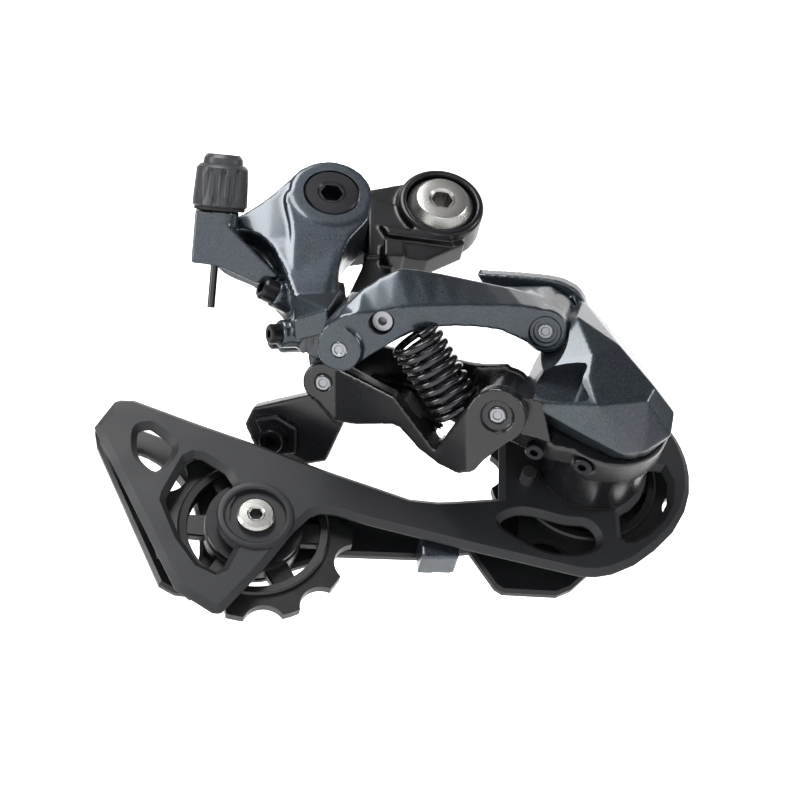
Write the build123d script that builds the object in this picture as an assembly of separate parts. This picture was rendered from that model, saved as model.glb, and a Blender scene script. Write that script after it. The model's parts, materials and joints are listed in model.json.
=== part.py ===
from build123d import *
import os
from math import cos, sin, pi, radians, sqrt

# Rear bicycle derailleur, direct-mount, with a slanted parallelogram and an 11-tooth pulley pair.
# Row frame: +X to the front of the bicycle, +Y inboard to the wheel, +Z up. The origin is on the
# hanger bolt's axis, in the face that seats on the frame's hanger. "Out" is a distance outboard, -Y.

# ---------------------------------------------------------------- driving sizes, in millimetres
RUNNING = 0.05          # radial clearance of every pin, axle and bush that turns
LOOSE = 0.3             # side gap between pieces that move past each other

# Hanger bolt and bracket
THREAD_R = 5.0          # M10 hanger thread
THREAD_LENGTH = 8.5
BOLT_HEAD_R = 8.75
BOLT_FACE_R = 6.5
BOLT_HEX = 5.0
BRACKET_RIM_R = 11.4    # round end of the bracket about the hanger bolt
BRACKET_RIM_OUT = 9.4
BRACKET_SEAT_OUT = 6.4  # floor of the counterbore that the bolt head seats on
BRACKET_ARM_OUT = 5.6
CLIP_GROOVE_R = 4.4
CLIP_R = 6.3
CLIP_THICK = 0.8
STOP_REACH = 33.8       # end of the stop arm from the upper pivot, where the B-tension screw bears
STOP_LOW = 2.4          # outboard faces of the stop arm
STOP_HIGH = 6.4

# Upper pivot, where the knuckle turns on the bracket
B_AXLE_X = -30.0
B_AXLE_Z = -9.0
B_RING_R = 10.4
B_RING_FACE = 19.5
B_SEAL_THICK = 0.5
B_AXLE_R = 4.5
B_AXLE_THREAD_R = 4.0
B_BOLT_HEAD_R = 6.9
B_BOLT_HEAD_THICK = 2.2
BUSH_WALL = 1.0
B_SPRING_R = 7.7        # mean radius of the light return spring in the ring
B_SPRING_WIRE = 1.1
B_SPRING_TURNS = 5

# Parallelogram: all four pins are parallel, and lean down and to the rear of straight outboard
PIN_YAW = 26.86
PIN_DROP = 52.18
LINK_TURN = -13.48      # the links' rest angle, in the plane that the pins are square to
B1_X = -28.2            # outer end of the outer link's knuckle pin
B1_OUT = 27.0
B1_Z = -63.6
LINK_LENGTH = 46.4      # pin to pin, the same on both links
PAIR_U = -8.55          # inner link's pins from the outer link's pins, along and across the links
PAIR_V = -14.43
P1_RISE = -20.6         # pin faces above or below B1's face, along the pins
B2_RISE = -17.6
P2_RISE = 1.8
PIN_R = 2.0
EAR_R = 5.2             # round ends of the links
BOSS_R = 6.8            # the inner link's large front boss
EAR_THICK = 4.2
REAR_EAR_THICK = 3.0
BARREL_R = 4.9          # knuckle barrels between the ears
B1_BARREL = 21.8
P1_BARREL = 13.0
B2_BARREL = 12.2
P2_BARREL = 13.0

# Lower pivot and cage
P_AXLE_X = 38.4
P_AXLE_Z = -71.0
P_HOUSING_R = 13.8
P_HOUSING_WALL = 1.9
P_HOUSING_OUT = 21.0
P_SPRING_DEPTH = 12.6
P_AXLE_R = 4.5
P_FLANGE_R = 7.0
P_FLANGE_THICK = 1.6
P_SPRING_R = 9.0
P_SPRING_WIRE = 1.5
P_SPRING_TURNS = 6
COVER_FACE = 34.0
COVER_SCREW_R = 1.5
COVER_SCREW_HEAD_R = 2.3
TENSION_X = -44.1
TENSION_Z = -93.0
PLATE_OUTER_FACE = 2.5  # inboard distances, +Y, of the cage's layers
PLATE_THICK = 3.5
CHAIN_LINE = 10.0
CAP_R = 11.8

# Pulleys
TEETH = 11
TIP_R = 24.2
SEAT_R = 5.2
SEAT_AT = 26.0
TOOTH_THICK = 2.4
RIM_R = 18.4
RIM_WIDTH = 4.6
HUB_R = 8.6
HUB_WIDTH = 5.7
WINDOWS = 6
BUSH_R = 4.0
PULLEY_BOLT_R = 2.45
PULLEY_HEAD_R = 4.55
PULLEY_HEAD_THICK = 1.9
PULLEY_HEX = 3.0
GUIDE_THREAD = 8.0      # the guide pulley's bolt screws this far into the lower axle

# Cable side
ADJUSTER_X = -58.2
ADJUSTER_OUT = 22.0
ADJUSTER_Z = -20.0
ADJUSTER_LEAN = 41.3    # its axis leans outboard from straight up
KNOB_R = 6.8
KNOB_HEIGHT = 13.6
FLUTES = 12
SPINDLE_R = 2.5
SOCKET_R = 2.15         # bore that takes the cable housing
BOSS_CABLE_R = 4.6
BOSS_LENGTH = 13.5
LINER_R = 0.95
LINER_LENGTH = 11.0
SCREW_R = 1.9
B_SCREW_LENGTH = 20.0
B_SCREW_HEAD_R = 2.9
LIMIT_LENGTH = 9.0
LIMIT_HEAD_R = 2.5
LUG_LENGTH = 6.5
CLAMP_U = -22.1
CLAMP_V = -29.9
CLAMP_TOP = -19.8       # face that the clamp plate seats on, along the pins from B1's face
CLAMP_PLATE_THICK = 1.4
CLAMP_WASHER_THICK = 0.6
CLAMP_HEAD = 2.2

# Link return spring
COIL_R = 5.7
COIL_WIRE = 1.85
COIL_TURNS = 8
COIL_START = (16.2, 1.2, -9.5)
COIL_END = (26.4, -16.6, -9.5)
POST_U = 9.5
POST_V = 5.7
POST_R = 2.9

# ---------------------------------------------------------------- frames
PIN_DIR = Vector(
    -sin(radians(PIN_YAW)) * cos(radians(PIN_DROP)),
    -cos(radians(PIN_YAW)) * cos(radians(PIN_DROP)),
    -sin(radians(PIN_DROP)),
)
LEVEL_DIR = Vector(cos(radians(PIN_YAW)), -sin(radians(PIN_YAW)), 0)
LINK_DIR = LEVEL_DIR.rotate(Axis((0, 0, 0), PIN_DIR), LINK_TURN)
B1 = Vector(B1_X, -B1_OUT, B1_Z)
LINK = Plane(origin=B1, x_dir=LINK_DIR, z_dir=PIN_DIR)
# The links' outlines were laid out at this pin spacing and stretch with the links. The lower knuckle and
# the cage, placed for it too, move with the links' lower pins.
LAYOUT_LENGTH = 46.4
STRETCH = LINK_LENGTH / LAYOUT_LENGTH
LOWER = Pos(LINK_DIR * (LINK_LENGTH - LAYOUT_LENGTH))
ADJUSTER_DIR = Vector(0, -sin(radians(ADJUSTER_LEAN)), cos(radians(ADJUSTER_LEAN)))
ADJUSTER = Plane(origin=(ADJUSTER_X, -ADJUSTER_OUT, ADJUSTER_Z), x_dir=(1, 0, 0), z_dir=ADJUSTER_DIR)
PLATE_INNER_FACE = PLATE_OUTER_FACE + PLATE_THICK
FAR_PLATE_FACE = 2 * CHAIN_LINE - PLATE_INNER_FACE
FAR_PLATE_THICK = 3.0
GUIDE_X = P_AXLE_X
GUIDE_Z = P_AXLE_Z
UP = (Align.CENTER, Align.CENTER, Align.MIN)

os.makedirs("parts", exist_ok=True)


# ---------------------------------------------------------------- shape helpers
def outline(points):
    """A closed straight-sided sketch, drawn anticlockwise whichever way its points run."""
    area = sum(a[0] * b[1] - b[0] * a[1] for a, b in zip(points, points[1:] + points[:1]))
    ordered = points if area > 0 else points[::-1]
    return make_face(Polyline(*ordered, close=True))


def stretched(points, start):
    """A link's outline points, stretched along the link from its upper pin at start."""
    return [(u if u < start else start + (u - start) * STRETCH, v) for u, v in points]


def prism(sketch, low, high):
    """A sketch raised along local z, from low to high."""
    return Pos(0, 0, low) * extrude(sketch, high - low, dir=(0, 0, 1))


def side(solid):
    """Turn a local solid so that its x, y, z are the row's X, Z and outboard."""
    return Plane(origin=(0, 0, 0), x_dir=(1, 0, 0), z_dir=(0, -1, 0)) * solid


def side_prism(sketch, low_out, high_out):
    """A sketch in X and Z, between two outboard distances."""
    return side(prism(sketch, low_out, high_out))


def disc(x, y, radius, low, high):
    """A local upright cylinder."""
    return Pos(x, y, low) * Cylinder(radius, high - low, align=UP)


def side_disc(x, z, radius, low_out, high_out):
    """A cylinder along Y, between two outboard distances."""
    return side(disc(x, z, radius, low_out, high_out))


def tube(x, y, outer, inner, low, high):
    """A local upright ring."""
    return disc(x, y, outer, low, high) - disc(x, y, inner, low - 1, high + 1)


def cone(x, y, low_r, high_r, low, high):
    """A local upright truncated cone."""
    return Pos(x, y, low) * Cone(low_r, high_r, high - low, align=UP)


def hexagon(across_flats):
    """A hexagon sketch for a key socket."""
    return RegularPolygon(across_flats / sqrt(3), 6)


def socket(x, y, across_flats, face, depth):
    """A hex key socket, cut downwards from a face."""
    return Pos(x, y, face - depth) * extrude(hexagon(across_flats), depth + 1, dir=(0, 0, 1))


def screw(length, shank_r, head_r, head_height, across_flats):
    """A cap screw along local z: its head's seat is at 0 and its point at -length."""
    head = disc(0, 0, head_r, 0, head_height)
    head = chamfer(head.edges().sort_by(Axis.Z)[-1], head_height * 0.15)
    shank = disc(0, 0, shank_r, -length, 0)
    shank = chamfer(shank.edges().sort_by(Axis.Z)[0], shank_r * 0.25)
    return head + shank - socket(0, 0, across_flats, head_height, head_height * 0.7)


def coil(mean_r, wire, turns, pitch):
    """A helical wire about local z, starting at height 0."""
    path = Helix(pitch=pitch, height=pitch * turns, radius=mean_r)
    section = Plane(origin=path @ 0, z_dir=path % 0) * Circle(wire / 2)
    return sweep(section, path=path, is_frenet=True)


def hull_plate(round_ends, low, high):
    """A plate around circles given as (x, y, radius), like a belt drawn round them."""
    return prism(make_hull([Pos(x, y) * Edge.make_circle(r) for x, y, r in round_ends]), low, high)


def save(name, shape):
    """Write one sub-part."""
    shape.label = name
    export_step(shape, "parts/" + name + ".step")


# ---------------------------------------------------------------- bracket that bolts to the hanger
B_SCREW = Plane(origin=(-43.4, -14.8, -39.0), x_dir=(0, 1, 0), z_dir=(-0.87, -0.45, 0.05))
STOP_ARM = ((-19.0, -14.0), (-12.0, -15.0), (-13.0, -24.0), (-18.5, -44.0), (-28.5, -44.0), (-28.5, -37.0),
            (-24.5, -33.0), (-20.5, -22.0))


def make_bracket():
    rim = disc(0, 0, BRACKET_RIM_R, 0, BRACKET_RIM_OUT)
    rim = fillet(rim.edges().sort_by(Axis.Z)[-1], 1.2)
    hub = disc(B_AXLE_X, B_AXLE_Z, B_RING_R - 0.6, 0, BRACKET_ARM_OUT)
    web = hull_plate(((0, 0, BRACKET_RIM_R - 0.5), (B_AXLE_X, B_AXLE_Z, B_RING_R - 0.9)), 0, BRACKET_ARM_OUT)
    skirt_points = ((-19, 2), (4, -6), (6.5, -11.5), (0, -15.7), (-3.8, -18.2), (-10.6, -17.6), (-19.0, -18.5))
    skirt = prism(outline(skirt_points), 0, BRACKET_ARM_OUT + 1.6)
    ribs = prism(outline(((-16, -8.8), (1.5, -9.8), (3.5, -13), (-14.2, -12.1))), 0, BRACKET_RIM_OUT - 0.6)
    stop = prism(outline(((-15.4, -15.2), (-10.0, -15.2), (-10.0, -20.4), (-15.4, -20.9))), 0, BRACKET_RIM_OUT + 1.6)
    arm = prism(outline(STOP_ARM), STOP_LOW, STOP_HIGH) & disc(B_AXLE_X, B_AXLE_Z, STOP_REACH, 0, 10)
    body = rim + hub + web + skirt + ribs + stop
    body -= disc(0, 0, BOLT_HEAD_R + 0.6, BRACKET_SEAT_OUT, BRACKET_RIM_OUT + 1)
    body -= disc(0, 0, THREAD_R + RUNNING, -1, BRACKET_RIM_OUT)
    body -= disc(0, 0, CLIP_R + LOOSE, -1, CLIP_THICK + LOOSE)
    body -= disc(B_AXLE_X, B_AXLE_Z, B_AXLE_THREAD_R, -1, BRACKET_ARM_OUT + 1)
    # The stop arm ends square to the B-tension screw, just off its point
    past_point = B_SCREW * Pos(0, 0, -B_SCREW_LENGTH - RUNNING) * Box(60, 60, 60, align=UP)
    return side(body) + (side(arm) - past_point)


def make_hanger_bolt():
    flange = disc(0, 0, BOLT_HEAD_R, BRACKET_SEAT_OUT, BRACKET_SEAT_OUT + 1.4)
    head = cone(0, 0, BOLT_HEAD_R, BOLT_FACE_R, BRACKET_SEAT_OUT + 1.4, BRACKET_SEAT_OUT + 4.4)
    shank = disc(0, 0, THREAD_R, -THREAD_LENGTH, BRACKET_SEAT_OUT)
    point = cone(0, 0, THREAD_R - 0.9, THREAD_R, -THREAD_LENGTH - 0.9, -THREAD_LENGTH)
    bolt = flange + head + shank + point
    face = BRACKET_SEAT_OUT + 4.4
    bolt -= socket(0, 0, BOLT_HEX, face, 6.0)
    bolt -= cone(0, 0, BOLT_HEX / sqrt(3), BOLT_HEX / sqrt(3) + 0.6, face - 0.6, face)
    bolt -= tube(0, 0, THREAD_R + 1, CLIP_GROOVE_R, 0.1, 0.1 + CLIP_THICK)
    return side(bolt)


def make_hanger_clip():
    ring = tube(0, 0, CLIP_R, CLIP_GROOVE_R + RUNNING, 0.15, 0.05 + CLIP_THICK)
    return side(ring - Pos(CLIP_R, 0, 0) * Box(CLIP_R, 3.0, 4.0))


def make_b_axle():
    seat = B_RING_FACE - 1.9
    shank = disc(B_AXLE_X, B_AXLE_Z, B_AXLE_R, BRACKET_ARM_OUT, seat)
    thread = disc(B_AXLE_X, B_AXLE_Z, B_AXLE_THREAD_R, 0.4, BRACKET_ARM_OUT)
    head = disc(B_AXLE_X, B_AXLE_Z, B_BOLT_HEAD_R, seat, seat + B_BOLT_HEAD_THICK)
    head = chamfer(head.edges().sort_by(Axis.Z)[-1], 0.6)
    bolt = shank + thread + head
    return side(bolt - socket(B_AXLE_X, B_AXLE_Z, BOLT_HEX, seat + B_BOLT_HEAD_THICK, 4.0))


def make_b_seal():
    low = BRACKET_ARM_OUT + 0.02
    return side(tube(B_AXLE_X, B_AXLE_Z, B_RING_R - 0.8, B_RING_R - 2.6, low, low + B_SEAL_THICK - 0.1))


# ---------------------------------------------------------------- upper knuckle
B_RING_BACK = BRACKET_ARM_OUT + B_SEAL_THICK + 0.2
B_BORE_R = B_AXLE_R + RUNNING + BUSH_WALL
WING = ((-36, -1.5), (-41.5, -5.4), (-53.5, -18.2), (-60.5, -20.3), (-62.6, -24.0), (-61.5, -28.0), (-55.0, -29.2),
        (-45.4, -34.6), (-41.6, -40.0), (-28.5, -40.0), (-29.5, -24.0), (-24, -15))
POCKET = ((-56.5, -22.6), (-52.0, -21.4), (-42.5, -29.5), (-42.5, -33.0), (-46, -32.0))


def make_b_knuckle():
    ring = disc(B_AXLE_X, B_AXLE_Z, B_RING_R, B_RING_BACK, B_RING_FACE)
    ring = fillet(ring.edges().sort_by(Axis.Z)[-1], 1.0)
    wing = prism(outline(WING), 8.0, 18.4)
    arm = prism(outline(((-41.8, -28.6), (-28.0, -28.6), (-27.2, -44.0), (-28.5, -53.0), (-37.0, -52.0))), 4.5, 19.0)
    body = side(ring + wing + arm)
    body -= side_prism(outline(POCKET), 12.5, 19.0)
    # Barrels for the two link pins, with the web that ties them to the arm
    local = disc(0, 0, BARREL_R, -EAR_THICK - LOOSE - B1_BARREL, -EAR_THICK - LOOSE)
    b2_top = B2_RISE - EAR_THICK - LOOSE
    local += disc(PAIR_U, PAIR_V, BARREL_R, b2_top - B2_BARREL, b2_top)
    local += prism(outline(((-13.2, 9), (-5.6, 9), (-4.4, 0), (-12.6, 0))), -26.0, -EAR_THICK - 3.0)
    local += prism(outline(((-13.2, 9), (-5.6, 9), (-4.5, -14), (-12.8, -14))), b2_top - B2_BARREL, b2_top)
    body += LINK * local
    # Cable adjuster boss, leaning outboard
    boss = cone(0, 0, BOSS_CABLE_R - 0.4, BOSS_CABLE_R, -BOSS_LENGTH, -0.3)
    body += ADJUSTER * boss
    # Lugs of the three screws
    for lug in (B_SCREW,) + LIMITS:
        body += lug * disc(0, 0, SCREW_R + 1.7, -LUG_LENGTH, 0)
    # Room for everything that seats in the knuckle
    body -= side_disc(B_AXLE_X, B_AXLE_Z, B_BORE_R, 0, B_RING_FACE + 1)
    body -= side_disc(B_AXLE_X, B_AXLE_Z, B_BOLT_HEAD_R + LOOSE, B_RING_FACE - 1.95, B_RING_FACE + 2)
    cavity = tube(B_AXLE_X, B_AXLE_Z, B_SPRING_R + 1.1, B_SPRING_R - 1.1, B_RING_BACK - 1, B_RING_BACK + 8.2)
    body -= side(cavity)
    body -= ADJUSTER * disc(0, 0, SPINDLE_R + RUNNING, -9.0, 1)
    body -= ADJUSTER * disc(0, 0, LINER_R, -BOSS_LENGTH - 20, 1)
    body -= B_SCREW * disc(0, 0, SCREW_R + RUNNING, -B_SCREW_LENGTH - 1, 1)
    body -= B_SCREW * disc(0, 0, B_SCREW_HEAD_R + LOOSE, 0, 9)
    for lug in LIMITS:
        body -= lug * disc(0, 0, SCREW_R + RUNNING, -LIMIT_LENGTH - 1, 1)
        body -= lug * disc(0, 0, LIMIT_HEAD_R + LOOSE, 0, 9)
    # The bracket's stop arm sweeps this much of the knuckle as the derailleur swings back
    stop_points = ((-29.5, -36.5), (-25.2, -32.5), (-20.5, -20.0), (10, -20), (10, -60), (-29.5, -60))
    stop_room = prism(outline(stop_points), STOP_LOW - 0.4, STOP_HIGH + 0.4)
    body -= side(stop_room & disc(B_AXLE_X, B_AXLE_Z, STOP_REACH + 0.5, 0, 10))
    pins = disc(0, 0, PIN_R, -40, 5) + disc(PAIR_U, PAIR_V, PIN_R, b2_top - 25, b2_top + 5)
    # The links' ears sweep these rings about the pins
    sweep_room = tube(0, 0, EAR_R + 8.0, PIN_R, -EAR_THICK - LOOSE, 12)
    rear = -EAR_THICK - 2 * LOOSE - B1_BARREL
    sweep_room += disc(0, 0, EAR_R + 0.5, rear - REAR_EAR_THICK - LOOSE, rear + LOOSE)
    sweep_room += disc(PAIR_U, PAIR_V, EAR_R + 7.5, b2_top, b2_top + 30) - disc(0, 0, 11.0, -60, 60)
    low = b2_top - B2_BARREL
    sweep_room += disc(PAIR_U, PAIR_V, EAR_R + 0.8, low - REAR_EAR_THICK - 2 * LOOSE, low)
    body -= LINK * (pins + sweep_room)
    solids = body.solids().sort_by(SortBy.VOLUME)
    return solids[-1]


def make_b_bushings():
    bore = B_AXLE_R + RUNNING
    near = tube(B_AXLE_X, B_AXLE_Z, B_BORE_R, bore, B_RING_BACK + 0.1, B_RING_BACK + 4.1)
    far = tube(B_AXLE_X, B_AXLE_Z, B_BORE_R, bore, B_RING_FACE - 6.0, B_RING_FACE - 2.05)
    return side(near + far)


def make_b_spring():
    wire = coil(B_SPRING_R, B_SPRING_WIRE, B_SPRING_TURNS, 1.35)
    return side(Pos(B_AXLE_X, B_AXLE_Z, B_RING_BACK + 0.7) * wire)


def make_b_link_pins():
    b1_low = -EAR_THICK - 2 * LOOSE - B1_BARREL - REAR_EAR_THICK
    b2_low = B2_RISE - EAR_THICK - 2 * LOOSE - B2_BARREL - REAR_EAR_THICK
    b1 = disc(0, 0, PIN_R, b1_low, -0.2) + disc(0, 0, PIN_R - 0.5, -0.2, 0.1)
    b2 = disc(PAIR_U, PAIR_V, PIN_R, b2_low, B2_RISE - 0.1)
    return LINK * b1, LINK * b2


# ---------------------------------------------------------------- adjusting screws and cable entry
LIMITS = (
    Plane(origin=(-41.5, -12.2, -49.5), x_dir=(0, 1, 0), z_dir=(-0.93, -0.22, -0.28)),
    Plane(origin=(-40.6, -5.6, -46.2), x_dir=(0, 1, 0), z_dir=(-0.93, -0.22, -0.28)),
)


def make_screws():
    b_screw = B_SCREW * screw(B_SCREW_LENGTH, SCREW_R, B_SCREW_HEAD_R, 3.6, 3.0)
    return (b_screw,) + tuple(plane * screw(LIMIT_LENGTH, SCREW_R, LIMIT_HEAD_R, 2.6, 2.0) for plane in LIMITS)


def make_adjuster_knob():
    skirt = disc(0, 0, KNOB_R, 0.5, 2.6)
    cap = cone(0, 0, KNOB_R - 0.9, KNOB_R - 2.0, KNOB_HEIGHT - 3.2, KNOB_HEIGHT)
    grip = Circle(KNOB_R - 0.1)
    for index in range(FLUTES):
        grip -= Rot(0, 0, index * 360 / FLUTES) * Pos(KNOB_R + 0.45, 0) * Circle(0.95)
    knob = skirt + cap + prism(grip, 2.6, KNOB_HEIGHT - 3.2)
    return ADJUSTER * (knob - disc(0, 0, SPINDLE_R, -1, KNOB_HEIGHT + 1))


def make_adjuster_spindle():
    spindle = disc(0, 0, SPINDLE_R, -8.5, KNOB_HEIGHT - 0.6)
    spindle -= disc(0, 0, SOCKET_R, 1.0, KNOB_HEIGHT)
    return ADJUSTER * (spindle - disc(0, 0, LINER_R + 0.2, -9, 2))


def make_adjuster_ring():
    return ADJUSTER * tube(0, 0, KNOB_R - 0.5, SPINDLE_R + RUNNING, -0.25, 0.45)


def make_cable_liner():
    low = -BOSS_LENGTH - LINER_LENGTH
    return ADJUSTER * tube(0, 0, LINER_R, LINER_R - 0.35, low, -10.0)


# ---------------------------------------------------------------- links
def front_of_outer(u):
    return P1_RISE * u / LINK_LENGTH


OUTER_REAR_B = -EAR_THICK - 2 * LOOSE - B1_BARREL
OUTER_REAR_P = P1_RISE - EAR_THICK - 2 * LOOSE - P1_BARREL


def make_outer_link():
    left, right = -8, LINK_LENGTH + 8
    top = ((-4.6, 2.3), (-2.0, 7.2), (2.0, 11.0), (9.0, 17.2), (13.0, 17.8), (21.4, 15.6), (30.4, 12.0), (39.6, 8.3),
           (45.4, 5.1))
    bottom = ((48.2, -4.8), (44.0, -4.6), (40.6, -1.3), (36.1, 1.4), (29.3, 2.8), (20.3, 3.7), (15.8, 2.6),
              (11.8, 0.5), (5.7, -3.1), (2.3, -4.7), (-3.0, -4.2))
    face = outline(stretched(top + bottom, 0))
    face += Circle(EAR_R) + Pos(LINK_LENGTH, 0) * Circle(EAR_R)
    body = prism(face, -60, 5)
    band = outline((
        (left, 0), (0, 0), (LINK_LENGTH - 5, P1_RISE), (right, P1_RISE),
        (right, OUTER_REAR_P - REAR_EAR_THICK), (LINK_LENGTH - 5, OUTER_REAR_P - REAR_EAR_THICK),
        (5, OUTER_REAR_B - REAR_EAR_THICK), (left, OUTER_REAR_B - REAR_EAR_THICK),
    ))
    body &= side_prism(band, -40, 40)
    channel = outline((
        (left, -EAR_THICK), (BARREL_R + 0.5, -EAR_THICK),
        (LINK_LENGTH - 6, P1_RISE - EAR_THICK), (right, P1_RISE - EAR_THICK),
        (right, OUTER_REAR_P), (LINK_LENGTH - 6, OUTER_REAR_P), (6, OUTER_REAR_B), (left, OUTER_REAR_B),
    ))
    room = prism(outline(stretched(((left, 8.0), (2.5, 8.0), (9.8, 12.6), (20.5, 11.4), (33.5, 7.0), (39.5, 6.6),
                                    (39.5, 30), (right, 30), (right, -20), (left, -20)), 0)), -60, 5)
    body -= side_prism(channel, -40, 40) & room
    slope = Vector(LINK_LENGTH, 0, P1_RISE).normalized()
    bevel = slope.cross(Vector(0, 9.0, -11.0).normalized())
    body = body.split(Plane(origin=(0, 8.6, -0.8), z_dir=bevel), keep=Keep.BOTTOM)
    body -= disc(0, 0, PIN_R + RUNNING, -60, 5) + disc(LINK_LENGTH, 0, PIN_R + RUNNING, -60, 5)
    body -= disc(POST_U, POST_V, POST_R, -60, 5)
    return LINK * body.solids().sort_by(SortBy.VOLUME)[-1]


def make_spring_post():
    face = front_of_outer(POST_U)
    post = disc(POST_U, POST_V, POST_R, face - 13.5, face - 1.6)
    post = chamfer(post.edges().sort_by(Axis.Z)[-1], 0.5)
    return LINK * (post - disc(POST_U, POST_V, 1.1, face - 4, face))


def inner_front(u):
    return B2_RISE + (P2_RISE - B2_RISE) * (u - PAIR_U) / LINK_LENGTH


INNER_REAR_B = B2_RISE - EAR_THICK - 2 * LOOSE - B2_BARREL
INNER_REAR_P = P2_RISE - EAR_THICK - 2 * LOOSE - P2_BARREL


def make_inner_link():
    left, right = PAIR_U - 30, PAIR_U + LINK_LENGTH + 10
    p2_u = PAIR_U + LINK_LENGTH
    front = outline(stretched((
        (-11.5, -10.5), (-6.0, -9.8), (11.3, -14.1), (22.0, -25.4), (32.4, -10.2), (36.85, -8.0), (41.85, -19.5),
        (34.6, -25.5), (32.2, -28.4), (28.0, -29.8), (23.0, -28.7), (17.5, -26.0), (12.5, -21.8), (10.3, -21.5),
        (0.0, -24.0), (-6.0, -24.5), (-13.2, -16.0)), PAIR_U))
    front += Pos(p2_u, PAIR_V) * Circle(BOSS_R) + Pos(PAIR_U, PAIR_V) * Circle(EAR_R)
    rear = outline(stretched((
        (-11.5, -10.5), (-6.0, -9.2), (37.85, -7.8), (41.85, -18.0), (30.0, -26.0), (14.0, -21.0), (-6.0, -20.0)), PAIR_U))
    rear += Pos(p2_u, PAIR_V) * Circle(EAR_R + 0.6) + Pos(PAIR_U, PAIR_V) * Circle(EAR_R)
    steep = outline((
        (left, B2_RISE), (PAIR_U + 3, B2_RISE), (p2_u - 7, P2_RISE), (right, P2_RISE),
        (right, INNER_REAR_P - REAR_EAR_THICK), (p2_u - 7, INNER_REAR_P - REAR_EAR_THICK),
        (PAIR_U + 5, INNER_REAR_B - REAR_EAR_THICK), (left, INNER_REAR_B - REAR_EAR_THICK),
    ))
    channel = outline((
        (left, B2_RISE - EAR_THICK), (PAIR_U + 6, B2_RISE - EAR_THICK), (p2_u - 8, P2_RISE - EAR_THICK),
        (right, P2_RISE - EAR_THICK), (right, INNER_REAR_P), (p2_u - 8, INNER_REAR_P),
        (PAIR_U + 6, INNER_REAR_B), (left, INNER_REAR_B),
    ))
    hollow = side_prism(channel, -40, 60)
    walls = prism(front, -60, 10) & side_prism(steep, -40, 60)
    back_half = prism(rear, -60, 10) & side_prism(steep, -40, 60)
    split_low = outline(((left, B2_RISE - 9), (PAIR_U + 6, B2_RISE - 9), (p2_u - 8, P2_RISE - 9), (right, P2_RISE - 9),
                         (right, -60), (left, -60)))
    behind = side_prism(split_low, -40, 60)
    floor = prism(outline(stretched((
        (0.5, -17.0), (12.5, -17.5), (24.0, -24.5), (27.5, -24.0), (29.5, -18.0), (32.0, -20.0), (32.0, -40.0),
        (0.5, -40.0)), PAIR_U)), -60, 10)
    body = (walls - behind) + (back_half & behind)
    body -= hollow - floor
    # Arm that carries the cable clamp
    arm = outline(((-13.0, -18.5), (-27.5, -22.5), (-29.8, -27.0), (-26.5, -35.5), (-16.0, -37.5), (-9.2, -36.0),
                   (-3.0, -23.0), (-6.0, -19.0)))
    arm_solid = prism(arm, CLAMP_TOP - EAR_THICK, CLAMP_TOP)
    arm_solid -= disc(PAIR_U, PAIR_V, BARREL_R + 2 * LOOSE, CLAMP_TOP - EAR_THICK - 1, B2_RISE - EAR_THICK)
    body += arm_solid
    body -= disc(PAIR_U, PAIR_V, PIN_R + RUNNING, -60, 10) + disc(p2_u, PAIR_V, PIN_R + RUNNING, -60, 10)
    body -= disc(p2_u, PAIR_V, 3.9, P2_RISE - 1.1, P2_RISE + 2)
    body -= disc(CLAMP_U, CLAMP_V, SCREW_R + RUNNING, -60, 10)
    return LINK * body.solids().sort_by(SortBy.VOLUME)[-1]


def make_clamp():
    top = CLAMP_TOP
    plate_edge = outline(((-27.0, -25.0), (-21.0, -23.6), (-15.8, -26.8), (-16.4, -34.0), (-23.0, -35.2)))
    plate = prism(plate_edge, top, top + CLAMP_PLATE_THICK)
    plate = chamfer(plate.edges().group_by(Axis.Z)[-1], 0.5)
    plate -= disc(CLAMP_U, CLAMP_V, SCREW_R + RUNNING, top - 1, top + 4)
    seat = top + CLAMP_PLATE_THICK + CLAMP_WASHER_THICK
    washer = tube(CLAMP_U, CLAMP_V, 3.4, SCREW_R + RUNNING, top + CLAMP_PLATE_THICK, seat)
    bolt = Pos(CLAMP_U, CLAMP_V, seat) * screw(8.5, SCREW_R, 3.1, CLAMP_HEAD, 3.0)
    return LINK * plate, LINK * washer, LINK * bolt


def make_return_spring():
    (start_u, start_v), = stretched([COIL_START[:2]], 0)
    (end_u, end_v), = stretched([COIL_END[:2]], PAIR_U)
    start = Vector(start_u, start_v, COIL_START[2])
    run = Vector(end_u, end_v, COIL_END[2]) - start
    pitch = run.length / COIL_TURNS
    wire = coil(COIL_R, COIL_WIRE, COIL_TURNS, pitch)
    return LINK * (Plane(origin=start, x_dir=(0, 0, 1), z_dir=run) * wire)


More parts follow.
